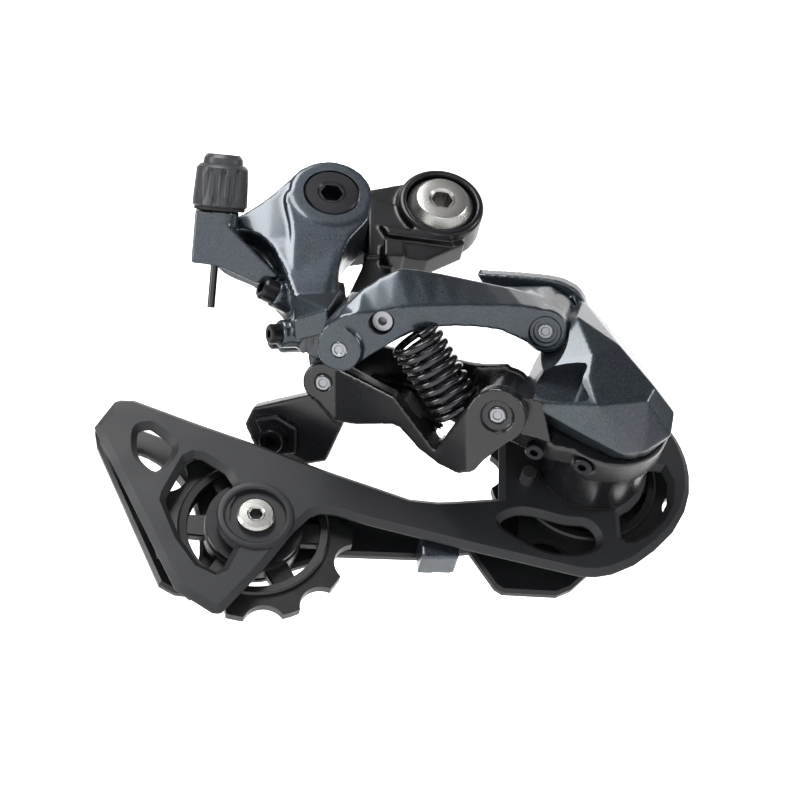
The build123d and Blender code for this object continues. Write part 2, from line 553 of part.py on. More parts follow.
# ---------------------------------------------------------------- lower knuckle
def make_p_knuckle():
    plane_low, plane_high = 14.5, P_HOUSING_OUT
    drum = side_disc(P_AXLE_X, P_AXLE_Z, P_HOUSING_R, -PLATE_OUTER_FACE + 1.2, P_HOUSING_OUT)
    collar = side_disc(P_AXLE_X, P_AXLE_Z, P_HOUSING_R + 1.2, 12.5, P_HOUSING_OUT)
    ties = outline(((12.0, -66.5), (19.5, -67.0), (22.5, -62.0), (23.5, -50.5), (29.5, -44.5), (36.0, -52.0),
                    (50.5, -66.0), (50.0, -78.0), (36.0, -83.5), (24.0, -82.0), (14.5, -77.0)))
    body = LOWER * (drum + collar + side_prism(ties, plane_low, plane_high))
    p2_u = PAIR_U + LINK_LENGTH
    p1_top = P1_RISE - EAR_THICK - LOOSE
    p2_top = P2_RISE - EAR_THICK - LOOSE
    body += LINK * disc(LINK_LENGTH, 0, BARREL_R, p1_top - P1_BARREL, p1_top)
    body += LINK * disc(p2_u, PAIR_V, BARREL_R + 0.6, p2_top - P2_BARREL, p2_top)
    for web, top, depth in (
        (((46.0, -4.6), (50.6, -1.0), (54.5, -12.0), (47.5, -16.5)), p1_top, P1_BARREL),
        (((38.0, -9.6), (48.0, -12.0), (50.0, -22.0), (38.0, -19.0)), p2_top, P2_BARREL),
    ):
        body += LOWER * (LINK * prism(outline(web), top - depth, top))
    # Clear the ears of both links through their whole swing
    room = disc(LINK_LENGTH, 0, EAR_R + 0.6, p1_top, 20)
    low = p1_top - P1_BARREL
    room += disc(LINK_LENGTH, 0, EAR_R + 0.8, low - REAR_EAR_THICK - 2 * LOOSE, low)
    room += disc(p2_u, PAIR_V, BOSS_R + 0.6, p2_top, 20)
    low = p2_top - P2_BARREL
    room += disc(p2_u, PAIR_V, EAR_R + 1.4, low - REAR_EAR_THICK - 2 * LOOSE, low)
    room += disc(LINK_LENGTH, 0, PIN_R, -60, 20) + disc(p2_u, PAIR_V, PIN_R + RUNNING, -60, 20)
    body -= LINK * room
    inner_r = P_HOUSING_R - P_HOUSING_WALL
    body -= LOWER * side_disc(P_AXLE_X, P_AXLE_Z, inner_r, -10, P_SPRING_DEPTH - 1.3)
    body -= LOWER * side_disc(P_AXLE_X, P_AXLE_Z, P_AXLE_R + RUNNING + BUSH_WALL, -10, P_HOUSING_OUT + 1)
    for plane in P_SCREWS:
        body -= LOWER * (plane * disc(0, 0, COVER_SCREW_R, -9, 2))
        body -= LOWER * (plane * disc(0, 0, COVER_SCREW_HEAD_R + LOOSE, 0, 9))
    return body.solids().sort_by(SortBy.VOLUME)[-1]


P_SCREWS = (
    Plane(origin=(32.0, -17.4, -83.6), x_dir=(0, 1, 0), z_dir=(-0.35, -0.15, -0.92)),
    Plane(origin=(20.5, -17.4, -80.5), x_dir=(0, 1, 0), z_dir=(-0.35, -0.15, -0.92)),
)


def make_p_cover(knuckle):
    edge = outline(((28.6, -44.6), (33.0, -43.4), (37.0, -48.2), (43.4, -56.8), (49.2, -66.1), (52.2, -74.7),
                    (51.0, -80.8), (44.8, -86.7), (40.8, -88.3), (36.8, -88.0), (28.3, -82.7), (18.6, -77.0),
                    (18.6, -68.5), (24.0, -61.0), (29.2, -59.6), (30.2, -52.0)))
    shell = Pos(0, 0, P_HOUSING_OUT + 0.05) * extrude(edge, COVER_FACE - P_HOUSING_OUT - 0.05, taper=18)
    cover = LOWER * side(shell)
    p2_u = PAIR_U + LINK_LENGTH
    room = disc(LINK_LENGTH, 0, EAR_R + 0.7, -60, 20) + disc(p2_u, PAIR_V, BOSS_R + 0.7, -60, 20)
    cover -= LINK * room
    cover -= LOWER * side_disc(P_AXLE_X, P_AXLE_Z, P_AXLE_R + 1.4, 0, P_HOUSING_OUT + 2.2)
    for plane in P_SCREWS:
        cover -= LOWER * (plane * disc(0, 0, COVER_SCREW_HEAD_R + LOOSE, -9, 9))
    cover -= knuckle
    return cover.solids().sort_by(SortBy.VOLUME)[-1]


def make_p_link_pins():
    p2_u = PAIR_U + LINK_LENGTH
    p1_low = OUTER_REAR_P - REAR_EAR_THICK
    p2_low = INNER_REAR_P - REAR_EAR_THICK
    p1 = disc(LINK_LENGTH, 0, PIN_R, p1_low, P1_RISE - 0.2) + disc(LINK_LENGTH, 0, PIN_R - 0.5, P1_RISE - 0.2, P1_RISE + 0.1)
    p2 = disc(p2_u, PAIR_V, PIN_R, p2_low, P2_RISE - 1.0) + disc(p2_u, PAIR_V, PIN_R - 0.5, P2_RISE - 1.0, P2_RISE - 0.4)
    return LINK * p1, LINK * p2


def make_p_bushing():
    bore = P_AXLE_R + RUNNING
    return side(tube(P_AXLE_X, P_AXLE_Z, bore + BUSH_WALL, bore, P_SPRING_DEPTH - 1.3, P_HOUSING_OUT - 0.1))


def make_p_spring():
    wire = coil(P_SPRING_R, P_SPRING_WIRE, P_SPRING_TURNS, 1.75)
    return side(Pos(P_AXLE_X, P_AXLE_Z, -0.4) * wire)


def make_p_seal():
    low = -PLATE_OUTER_FACE + 0.3
    return side(tube(P_AXLE_X, P_AXLE_Z, P_HOUSING_R - 0.4, P_HOUSING_R - 1.7, low, low + 0.7))


def make_p_screws():
    cover_screw = screw(6.5, COVER_SCREW_R, COVER_SCREW_HEAD_R, 1.8, 2.0)
    return Compound(children=[LOWER * (plane * cover_screw) for plane in P_SCREWS])


# ---------------------------------------------------------------- cage
def inboard_side(solid):
    """Turn a local solid so that its x, y, z are the row's -X, Z and inboard."""
    return Plane(origin=(0, 0, 0), x_dir=(-1, 0, 0), z_dir=(0, 1, 0)) * solid


def make_outer_plate():
    rim = P_HOUSING_R + 12.2
    edge = Polyline((-84.3, -70.5), (-79.7, -61.9), (-75.1, -61.6), (-44.6, -71.7), (-28.0, -77.6), (-6.7, -84.2),
                    (3.5, -83.8), (P_AXLE_X - rim + 3.0, -82.0))
    crown = ThreePointArc(edge @ 1, (P_AXLE_X, P_AXLE_Z + rim), (P_AXLE_X + rim, P_AXLE_Z))
    toe = ThreePointArc(crown @ 1, (57.6, -89.2), (42.6, -101.0))
    belly = Polyline(toe @ 1, (34.7, -102.2), (10.2, -97.7), (-16.8, -92.3), (-24.9, -90.0), (-28.6, -90.0),
                     (-31.0, -91.3), (-34.9, -95.9), (-41.6, -106.5), (-50.8, -119.0), (-53.0, -119.2),
                     (-62.2, -113.6), (-84.3, -70.5))
    plate = prism(make_face(edge + crown + toe + belly), -PLATE_INNER_FACE, -PLATE_OUTER_FACE)
    window_a = fillet(outline(((-73.9, -71.2), (-71.2, -69.4), (-64.6, -74.6), (-67.0, -80.6), (-69.3, -82.0),
                               (-73.2, -77.8))).vertices(), 0.9)
    window_b = outline(((-61.6, -78.2), (-58.8, -76.6), (-51.8, -80.6), (-49.6, -84.6), (-54.2, -93.0),
                        (-48.7, -101.2), (-51.0, -107.7), (-52.8, -108.6), (-56.9, -106.8), (-61.8, -100.1),
                        (-66.0, -90.3), (-65.8, -88.5)))
    window_c = fillet(outline(((15.2, -88.8), (21.1, -85.4), (36.7, -87.7), (39.6, -91.0), (38.0, -95.0),
                               (33.0, -96.6), (26.4, -96.2), (18.8, -92.3))).vertices(), 1.0)
    window_d = make_face(
        ThreePointArc((45.6, -91.0), (55.4, -86.2), (57.6, -69.6))
        + Polyline((57.6, -69.6), (53.2, -69.6))
        + ThreePointArc((53.2, -69.6), (50.8, -79.6), (45.6, -84.2))
        + Polyline((45.6, -84.2), (45.6, -91.0))
    )
    for window in (window_a, window_b, window_c, window_d):
        plate -= prism(window, -20, 20)
    plate += disc(TENSION_X, TENSION_Z, 9.2, -PLATE_INNER_FACE, -PLATE_OUTER_FACE + 0.7)
    plate -= disc(TENSION_X, TENSION_Z, 7.3, -PLATE_OUTER_FACE - 0.7, 20)
    plate -= disc(TENSION_X, TENSION_Z, PULLEY_BOLT_R + 0.1, -20, 20)
    plate -= disc(P_AXLE_X, P_AXLE_Z, P_AXLE_R, -20, 20)
    plate -= disc(P_AXLE_X, P_AXLE_Z, P_FLANGE_R, -20, -PLATE_INNER_FACE + P_FLANGE_THICK)
    return side(plate)


def make_inner_plate():
    rim = 18.6
    edge = Polyline((-84.4, -64.5), (-79.5, -62.2), (-75.5, -62.0), (-48.0, -71.5), (-30.0, -80.0),
                    (-6.0, -84.5), (8.0, -83.0), (GUIDE_X - rim + 0.6, GUIDE_Z - 3.0))
    crown = ThreePointArc(edge @ 1, (GUIDE_X + 2.0, GUIDE_Z + rim), (GUIDE_X + rim * 0.7, GUIDE_Z - rim * 0.7))
    belly = Polyline(crown @ 1, (41.3, -93.3), (35.1, -99.9), (31.3, -101.9), (17.9, -102.2), (15.9, -101.0),
                     (9.8, -91.3), (-2.4, -94.0), (-23.0, -94.9), (-38.0, -101.5), (-57.3, -109.0), (-65.8, -106.7),
                     (-83.5, -68.9), (-84.4, -64.5))
    plate = prism(make_face(edge + crown + belly), -FAR_PLATE_FACE - FAR_PLATE_THICK, -FAR_PLATE_FACE)
    slot = fillet(outline(((-76.0, -71.0), (-66.0, -72.5), (-57.0, -84.0), (-55.0, -101.0), (-62.0, -102.5))).vertices(), 2)
    plate -= prism(slot, -40, 0)
    for x, z in ((TENSION_X, TENSION_Z), (GUIDE_X, GUIDE_Z)):
        plate -= disc(x, z, PULLEY_BOLT_R, -40, 0)
    return side(plate)


def make_chain_guard():
    low, high = -FAR_PLATE_FACE + 0.02, -PLATE_INNER_FACE - 0.02
    block = prism(outline(((-3.8, -93.2), (5.9, -92.4), (5.7, -98.2), (-3.4, -99.0))), low, high)
    return side(block)


def make_stop_pin():
    reach = P_HOUSING_R + 3.4
    angle = radians(200)
    return side(disc(P_AXLE_X + reach * cos(angle), P_AXLE_Z + reach * sin(angle), 1.8, -PLATE_OUTER_FACE, 1.6))


def make_p_axle():
    axle = disc(P_AXLE_X, P_AXLE_Z, P_AXLE_R, -PLATE_INNER_FACE + P_FLANGE_THICK, P_HOUSING_OUT + 0.8)
    axle += disc(P_AXLE_X, P_AXLE_Z, P_FLANGE_R, -PLATE_INNER_FACE, -PLATE_INNER_FACE + P_FLANGE_THICK)
    axle -= disc(P_AXLE_X, P_AXLE_Z, PULLEY_BOLT_R, -PLATE_INNER_FACE - 1, -PLATE_INNER_FACE + GUIDE_THREAD + 0.5)
    return side(axle)


def make_pulley(x, z):
    gear = Circle(TIP_R)
    for index in range(TEETH):
        turn = 2 * pi * (index + 0.5) / TEETH
        gear -= Pos(SEAT_AT * cos(turn), SEAT_AT * sin(turn)) * Circle(SEAT_R)
    wheel = prism(gear, -TOOTH_THICK / 2, TOOTH_THICK / 2)
    wheel += disc(0, 0, RIM_R, -RIM_WIDTH / 2, RIM_WIDTH / 2)
    wheel += disc(0, 0, HUB_R + 1.6, -HUB_WIDTH / 2, HUB_WIDTH / 2)
    window = tube(0, 0, RIM_R - 2.2, HUB_R + 1.2, -9, 9)
    spoke_half = 2.0
    for index in range(WINDOWS):
        spoke = Rot(0, 0, index * 360 / WINDOWS) * Pos(RIM_R / 2, 0, 0) * Box(RIM_R, 2 * spoke_half, 30)
        window -= spoke
    wheel -= window
    wheel -= tube(0, 0, RIM_R - 1.0, HUB_R + 2.6, 1.4, 9) + tube(0, 0, RIM_R - 1.0, HUB_R + 2.6, -9, -1.4)
    wheel -= disc(0, 0, BUSH_R + RUNNING, -9, 9)
    return side(Pos(x, z, -CHAIN_LINE) * wheel)


def make_pulley_fittings(x, z):
    half = HUB_WIDTH / 2 + 0.15
    bush = tube(x, z, BUSH_R, PULLEY_BOLT_R + RUNNING, -CHAIN_LINE - half, -CHAIN_LINE + half)
    cap = tube(x, z, CAP_R, PULLEY_BOLT_R + RUNNING, -CHAIN_LINE + half, -PLATE_INNER_FACE)
    far = tube(x, z, CAP_R, PULLEY_BOLT_R + RUNNING, -FAR_PLATE_FACE, -CHAIN_LINE - half)
    return LOWER * side(bush), Compound(children=[LOWER * side(cap), LOWER * side(far)])


def make_pulley_bolt(length):
    """A low-head cap screw: its seat is at local z 0 and its point at -length."""
    body = disc(0, 0, PULLEY_BOLT_R, -length, 0)
    head = disc(0, 0, PULLEY_HEAD_R, 0, PULLEY_HEAD_THICK)
    head = chamfer(head.edges().sort_by(Axis.Z)[-1], 0.5)
    return body + head - socket(0, 0, PULLEY_HEX, PULLEY_HEAD_THICK, 2.6)


# ---------------------------------------------------------------- write every sub-part
save("bracket", make_bracket())
save("hanger_bolt", make_hanger_bolt())
save("hanger_clip", make_hanger_clip())
save("b_axle_bolt", make_b_axle())
save("b_seal", make_b_seal())

save("b_knuckle", make_b_knuckle())
save("b_bushings", make_b_bushings())
save("b_spring", make_b_spring())
b1_pin, b2_pin = make_b_link_pins()
save("outer_link_pin_upper", b1_pin)
save("inner_link_pin_upper", b2_pin)
b_screw, high_screw, low_screw = make_screws()
save("b_tension_screw", b_screw)
save("limit_screw_high", high_screw)
save("limit_screw_low", low_screw)
save("adjuster_knob", make_adjuster_knob())
save("adjuster_spindle", make_adjuster_spindle())
save("adjuster_ring", make_adjuster_ring())
save("cable_liner", make_cable_liner())

save("outer_link", make_outer_link())
save("spring_post", make_spring_post())
save("inner_link", make_inner_link())
clamp_plate, clamp_washer, clamp_bolt = make_clamp()
save("cable_clamp_plate", clamp_plate)
save("cable_clamp_washer", clamp_washer)
save("cable_clamp_bolt", clamp_bolt)
save("return_spring", make_return_spring())

p_knuckle = make_p_knuckle()
save("p_knuckle", p_knuckle)
save("p_knuckle_cover", make_p_cover(p_knuckle))
p1_pin, p2_pin = make_p_link_pins()
save("outer_link_pin_lower", p1_pin)
save("inner_link_pin_lower", p2_pin)
save("p_bushing", LOWER * make_p_bushing())
save("p_spring", LOWER * make_p_spring())
save("p_seal", LOWER * make_p_seal())
save("p_knuckle_screws", make_p_screws())

save("outer_cage_plate", LOWER * make_outer_plate())
save("inner_cage_plate", LOWER * make_inner_plate())
save("chain_guard", LOWER * make_chain_guard())
save("cage_stop_pin", LOWER * make_stop_pin())
save("p_axle", LOWER * make_p_axle())
tension_seat = -PLATE_OUTER_FACE - 0.7
far_face = FAR_PLATE_FACE + FAR_PLATE_THICK
tension_bolt = side(Pos(TENSION_X, TENSION_Z, tension_seat) * make_pulley_bolt(tension_seat + far_face))
save("tension_bolt", LOWER * tension_bolt)
guide_length = far_face - PLATE_INNER_FACE + GUIDE_THREAD
save("guide_bolt", LOWER * inboard_side(Pos(-GUIDE_X, GUIDE_Z, far_face) * make_pulley_bolt(guide_length)))
for name, x, z in (("guide", GUIDE_X, GUIDE_Z), ("tension", TENSION_X, TENSION_Z)):
    save(name + "_pulley", LOWER * make_pulley(x, z))
    bush, caps = make_pulley_fittings(x, z)
    save(name + "_bush", bush)
    save(name + "_caps", caps)
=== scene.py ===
import bpy
import bmesh
import json
from math import cos, sin, pi, radians
from mathutils import Matrix, Vector
from bpy.props import FloatProperty, IntProperty, PointerProperty, StringProperty


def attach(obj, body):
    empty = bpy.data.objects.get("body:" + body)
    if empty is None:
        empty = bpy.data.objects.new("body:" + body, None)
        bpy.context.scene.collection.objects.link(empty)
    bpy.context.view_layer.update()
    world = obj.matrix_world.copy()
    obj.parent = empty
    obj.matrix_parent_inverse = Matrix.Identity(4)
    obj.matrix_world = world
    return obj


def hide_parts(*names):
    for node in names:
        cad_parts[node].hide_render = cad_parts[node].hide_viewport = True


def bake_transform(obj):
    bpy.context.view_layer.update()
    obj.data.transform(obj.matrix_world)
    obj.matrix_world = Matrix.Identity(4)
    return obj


bl_info = {
    "name": "Rear Bicycle Derailleur",
    "version": (1, 0, 0),
    "blender": (4, 5, 0),
    "location": "View3D > Sidebar > Derailleur",
    "description": "Builds the finished surfaces of a rear bicycle derailleur on its packed frame",
    "category": "Add Mesh",
}

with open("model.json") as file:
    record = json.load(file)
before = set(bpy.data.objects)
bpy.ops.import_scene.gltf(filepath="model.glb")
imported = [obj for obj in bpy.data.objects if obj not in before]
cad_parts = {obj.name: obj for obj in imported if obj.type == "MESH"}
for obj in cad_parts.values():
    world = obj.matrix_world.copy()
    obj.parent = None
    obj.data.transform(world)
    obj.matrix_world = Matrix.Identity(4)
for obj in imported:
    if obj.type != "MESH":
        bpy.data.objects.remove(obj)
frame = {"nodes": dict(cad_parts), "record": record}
MM = 0.001
# degrees of turn that stay crisp on turned pieces
HEAD_CREASE = 28


# ------------------------------------------------------------------ colours and node trees
def linear(code):
    """An sRGB hex colour as a linear RGBA value."""
    parts = [int(code[i:i + 2], 16) / 255 for i in (1, 3, 5)]
    return [p / 12.92 if p <= 0.04045 else ((p + 0.055) / 1.055) ** 2.4 for p in parts] + [1.0]


def shade(colour, factor):
    """A lighter or darker tone of a linear colour."""
    return [min(1.0, part * factor) for part in colour[:3]] + [1.0]


def add(tree, kind, settings=None, links=None):
    """Adds a node: settings go to its attributes or inputs, links join its inputs to other nodes' outputs."""
    made = tree.nodes.new(kind)
    for key, value in (settings or {}).items():
        if isinstance(key, str) and hasattr(made, key):
            setattr(made, key, value)
        else:
            made.inputs[key].default_value = value
    for key, source in (links or {}).items():
        tree.links.new(source, made.inputs[key])
    return made


def new_material(name):
    """An empty node material and its tree."""
    material = bpy.data.materials.new(name)
    material.use_nodes = True
    material.node_tree.nodes.clear()
    return material, material.node_tree


# ------------------------------------------------------------------ sizes and colours
class DERAILLEUR_PG_sizes(bpy.types.PropertyGroup):
    forging_grain: FloatProperty(name="Forging grain",
                                 description="Mesh size of the forged and moulded pieces",
                                 default=0.42 * MM, min=0.2 * MM, max=2 * MM, unit="LENGTH", precision=5)
    spring_wire: FloatProperty(name="Spring wire", description="Wire diameter of the link return spring",
                               default=1.85 * MM, unit="LENGTH", precision=5)
    spring_radius: FloatProperty(name="Spring radius", description="Mean radius of the link return spring",
                                 default=5.7 * MM, unit="LENGTH", precision=5)
    spring_turns: FloatProperty(name="Spring turns", description="Turns of the link return spring",
                                default=9.0)
    teeth: IntProperty(name="Pulley teeth", description="Teeth on each pulley", default=11, min=8, max=15)
    knob_groups: IntProperty(name="Knob grooves", default=3,
                             description="Groups of slanted grooves round the adjuster knob")


class DERAILLEUR_PG_colours(bpy.types.PropertyGroup):
    paint: StringProperty(name="Metallic paint", description="Base of the metallic paint", default="#1f252b")
    black: StringProperty(name="Black paint", description="Satin black paint on the bracket and links",
                          default="#0c0d0f")
    composite: StringProperty(name="Composite", description="Glass-filled resin of the cage plate",
                              default="#131416")
    resin: StringProperty(name="Resin", description="Acetal of the pulleys", default="#0b0c0d")
    steel: StringProperty(name="Stainless steel", description="Turned bolts and rivets", default="#93928f")


# ------------------------------------------------------------------ materials
def metallic_paint(colours):
    # Sprayed metallic paint under clear lacquer: aluminium flakes glint one by one in a dark blue-grey base
    material, tree = new_material("sprayed metallic grey paint")
    place = add(tree, "ShaderNodeTexCoord")
    # Flakes are about 0.05 mm; drawn at 0.22 mm so that they show
    flakes = add(tree, "ShaderNodeTexVoronoi", {"Scale": 1 / (0.22 * MM)},
                 {"Vector": place.outputs["Object"]})
    drift = add(tree, "ShaderNodeTexNoise", {"Scale": 1 / (9 * MM), "Detail": 3.0},
                {"Vector": place.outputs["Object"]})
    glint = add(tree, "ShaderNodeMapRange", {"From Min": 0.0, "From Max": 1.0, "To Min": 0.0, "To Max": 1.0},
                {"Value": flakes.outputs["Color"]})
    base = linear(colours.paint)
    light, dark = shade(base, 2.3), shade(base, 0.6)
    mix = add(tree, "ShaderNodeMix", {"data_type": "RGBA", 6: dark, 7: light}, {0: glint.outputs[0]})
    tint = add(tree, "ShaderNodeMix", {"data_type": "RGBA", "blend_type": "MULTIPLY", 0: 0.35},
               {6: mix.outputs[2], 7: drift.outputs["Color"]})
    rough = add(tree, "ShaderNodeMapRange", {"To Min": 0.26, "To Max": 0.44}, {"Value": glint.outputs[0]})
    bump = add(tree, "ShaderNodeBump", {"Strength": 0.08, "Distance": 0.02 * MM},
               {"Height": flakes.outputs["Distance"]})
    shader = add(tree, "ShaderNodeBsdfPrincipled", {"Metallic": 0.75, "Coat Weight": 0.5,
                                                    "Coat Roughness": 0.12},
                 {"Base Color": tint.outputs[2], "Roughness": rough.outputs[0], "Normal": bump.outputs[0]})
    add(tree, "ShaderNodeOutputMaterial", {}, {"Surface": shader.outputs[0]})
    return material


def grained(name, colour, grain_mm, depth_mm, low_rough, high_rough, metallic, coat):
    """A finely grained opaque surface, with its gloss broken by its own grain and by a slow drift."""
    material, tree = new_material(name)
    place = add(tree, "ShaderNodeTexCoord")
    grain = add(tree, "ShaderNodeTexNoise", {"Scale": 1 / (grain_mm * MM), "Detail": 4.0, "Roughness": 0.6},
                {"Vector": place.outputs["Object"]})
    drift = add(tree, "ShaderNodeTexNoise", {"Scale": 1 / (12 * MM), "Detail": 2.0},
                {"Vector": place.outputs["Object"]})
    rough = add(tree, "ShaderNodeMapRange", {"From Min": 0.3, "From Max": 0.7, "To Min": low_rough,
                                             "To Max": high_rough},
                {"Value": drift.outputs["Fac"]})
    ramp = add(tree, "ShaderNodeMix", {"data_type": "RGBA", 6: shade(colour, 0.75), 7: shade(colour, 1.3)},
               {0: grain.outputs["Fac"]})
    bump = add(tree, "ShaderNodeBump", {"Strength": 0.35, "Distance": depth_mm * MM},
               {"Height": grain.outputs["Fac"]})
    shader = add(tree, "ShaderNodeBsdfPrincipled",
                 {"Metallic": metallic, "Coat Weight": coat, "Coat Roughness": 0.2,
                  "Specular IOR Level": 0.5 if metallic > 0.5 else 0.24},
                 {"Base Color": ramp.outputs[2], "Roughness": rough.outputs[0], "Normal": bump.outputs[0]})
    add(tree, "ShaderNodeOutputMaterial", {}, {"Surface": shader.outputs[0]})
    return material


def turned_steel(name, colour, centre, along, rough):
    """Lathe-turned metal: fine concentric cutting lines about its own axis."""
    material, tree = new_material(name)
    place = add(tree, "ShaderNodeTexCoord")
    turn = Vector(along).rotation_difference(Vector((0, 0, 1)))
    shifted = add(tree, "ShaderNodeMapping", {"vector_type": "TEXTURE", "Location": Vector(centre),
                                              "Rotation": turn.inverted().to_euler()},
                  {"Vector": place.outputs["Object"]})
    # Tool marks are 0.05 mm apart; drawn at 0.3 mm so that they show
    rings = add(tree, "ShaderNodeTexWave", {"wave_type": "RINGS", "rings_direction": "Z",
                                            "Scale": 0.32 / (0.3 * MM),
                                            "Distortion": 0.6, "Detail": 2.0, "Detail Scale": 0.4},
                {"Vector": shifted.outputs[0]})
    ramp = add(tree, "ShaderNodeMix", {"data_type": "RGBA", 6: shade(colour, 0.8), 7: colour},
               {0: rings.outputs["Fac"]})
    gloss = add(tree, "ShaderNodeMapRange", {"To Min": rough * 0.8, "To Max": rough * 1.25},
                {"Value": rings.outputs["Fac"]})
    bump = add(tree, "ShaderNodeBump", {"Strength": 0.12, "Distance": 0.01 * MM},
               {"Height": rings.outputs["Fac"]})
    shader = add(tree, "ShaderNodeBsdfPrincipled", {"Metallic": 1.0},
                 {"Base Color": ramp.outputs[2], "Roughness": gloss.outputs[0], "Normal": bump.outputs[0]})
    add(tree, "ShaderNodeOutputMaterial", {}, {"Surface": shader.outputs[0]})
    return material


PALETTE = {}


def fill_palette(colours):
    """Makes the material of every finish slot in the record."""
    black = linear(colours.black)
    PALETTE["metallic_grey_paint"] = metallic_paint(colours)
    for slot, *look in (
        # name, colour, grain and its depth in mm, least and most roughness, metallic, coat
        # Satin black anodising on a forging: a soft sheen with a very fine matt grain
        ("black_anodised_bracket", "satin black anodised aluminium", black, 0.25, 0.012, 0.30, 0.42, 0.35,
         0.15),
        # Electrophoretic black paint: smooth, semi-gloss, with a faint orange peel
        ("black_paint", "semi-gloss black paint", black, 0.5, 0.012, 0.22, 0.34, 0.2, 0.35),
        # Anodised sheet: an even, slightly duller black than the forging
        ("cage_plate_black", "satin black anodised plate", black, 0.3, 0.01, 0.32, 0.45, 0.3, 0.1),
        # Glass-filled resin off a textured mould: dark grey, even fine stipple, dull sheen
        ("cage_composite", "moulded glass-filled nylon", linear(colours.composite), 0.35, 0.03, 0.42, 0.55,
         0.0, 0.0),
        # Acetal: waxy black, slightly glossy where moulded smooth
        ("pulley_resin", "moulded black acetal", linear(colours.resin), 0.6, 0.01, 0.3, 0.42, 0.0, 0.1),
        # ABS off a fine-textured mould: dull dark grey
        ("knob_plastic", "moulded grey ABS", linear("#232427"), 0.3, 0.02, 0.36, 0.48, 0.0, 0.05),
        # Extruded liner: smooth and slightly shiny, with barely any grain
        ("liner_plastic", "extruded black polyethylene", linear("#0c0c0d"), 0.8, 0.004, 0.2, 0.3, 0.0, 0.2),
        # Rubber: matt black
        ("seal_rubber", "moulded nitrile rubber", linear("#0e0e0f"), 0.2, 0.01, 0.55, 0.7, 0.0, 0.0),
        # Black-oxide steel: dark with an oily metallic sheen
        ("black_steel", "black-oxide steel", linear("#1b1b1e"), 0.2, 0.006, 0.25, 0.36, 0.85, 0.0),
        # Drawn wire, hardened in oil: dark and glossy
        ("spring_steel", "oil-tempered spring wire", linear("#1d1d20"), 0.4, 0.004, 0.16, 0.26, 0.8, 0.3),
        # Pressed and sintered powder: brown-gold with a fine dull speckle
        ("bush_bronze", "sintered bronze", linear("#a07c46"), 0.15, 0.01, 0.35, 0.5, 1.0, 0.0),
        # Bare steel: mid grey where headed, lighter where ground, brightest on the stainless bolts
        ("rivet_steel", "headed steel pin", linear("#77787b"), 0.12, 0.008, 0.34, 0.46, 1.0, 0.0),
        ("axle_steel", "ground axle steel", linear("#8f9092"), 0.1, 0.004, 0.24, 0.34, 1.0, 0.0),
        ("stainless_bolt", "bright stainless steel", linear(colours.steel), 0.1, 0.004, 0.2, 0.3, 1.0, 0.0),
    ):
        PALETTE[slot] = grained(*look)


# ------------------------------------------------------------------ making pieces
def slot_of(node):
    """The finish slot that the record gives a CAD node."""
    for entry in frame["record"]["subparts"]:
        if entry["node"] == node:
            return entry["material_slot"]
    raise RuntimeError("no slot for " + node)


def body_of(node):
    """The moving body that a CAD node belongs to."""
    for body, nodes in frame["record"]["behaviour"]["bodies"].items():
        if node in nodes:
            return body
    raise RuntimeError("no body for " + node)


def object_from(name, mesh):
    """An object in the scene, made from a mesh or a curve."""
    made = bpy.data.objects.new(name, mesh)
    bpy.context.scene.collection.objects.link(made)
    return made


def piece_of(work, name):
    """A new object from finished mesh work."""
    mesh = bpy.data.meshes.new(name)
    work.to_mesh(mesh)
    work.free()
    return object_from(name, mesh)


def walls(work, low, high):
    """Faces between two closed rings with the same number of vertices."""
    for index in range(len(low)):
        after = (index + 1) % len(low)
        work.faces.new((low[index], low[after], high[after], high[index]))


def enclose(work, rings):
    """Walls from ring to ring, with the first and last rings closed over."""
    for low, high in zip(rings, rings[1:]):
        walls(work, low, high)
    work.faces.new(rings[0][::-1])
    work.faces.new(rings[-1])
    bmesh.ops.recalc_face_normals(work, faces=work.faces)


def settle(piece, node, material=None):
    """Gives a piece its finish, and lets it stand for and move with its CAD node."""
    piece.data.materials.clear()
    piece.data.materials.append(material or PALETTE[slot_of(node)])
    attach(piece, body_of(node))
    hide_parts(node)
    return piece


def apply_modifiers(piece):
    """Turns the evaluated result into a plain mesh and drops the modifiers."""
    graph = bpy.context.evaluated_depsgraph_get()
    mesh = bpy.data.meshes.new_from_object(piece.evaluated_get(graph))
    piece.modifiers.clear()
    old = piece.data
    piece.data = mesh
    bpy.data.meshes.remove(old)
    return piece


def sharpen(mesh, degrees):
    """Smooth shading, broken at edges that turn more than this."""
    work = bmesh.new()
    work.from_mesh(mesh)
    for face in work.faces:
        face.smooth = True
    for edge in work.edges:
        edge.smooth = len(edge.link_faces) == 2 and edge.calc_face_angle(0) < radians(degrees)
    work.to_mesh(mesh)
    work.free()


def merged_copy(node, name):
    """A copy of a CAD node's mesh with its loose triangles joined."""
    source = frame["nodes"][node]
    mesh = source.data.copy()
    work = bmesh.new()
    work.from_mesh(mesh)
    bmesh.ops.remove_doubles(work, verts=work.verts, dist=1e-6)
    work.to_mesh(mesh)
    work.free()
    return object_from(name, mesh)


def softened(piece, grain, rounds):
    """Meshes a piece evenly and rounds its edges, more with each round."""
    remesh = piece.modifiers.new("grain", "REMESH")
    remesh.mode = "VOXEL"
    remesh.voxel_size = grain
    smooth = piece.modifiers.new("soften", "SMOOTH")
    smooth.factor = 0.5
    smooth.iterations = rounds
    return apply_modifiers(piece)


def forged(node, name, grain, rounds):
    """A CAD node's solid with every edge softened, as a die or a mould leaves it."""
    piece = softened(merged_copy(node, name), grain, rounds)
    for polygon in piece.data.polygons:
        polygon.use_smooth = True
    return piece


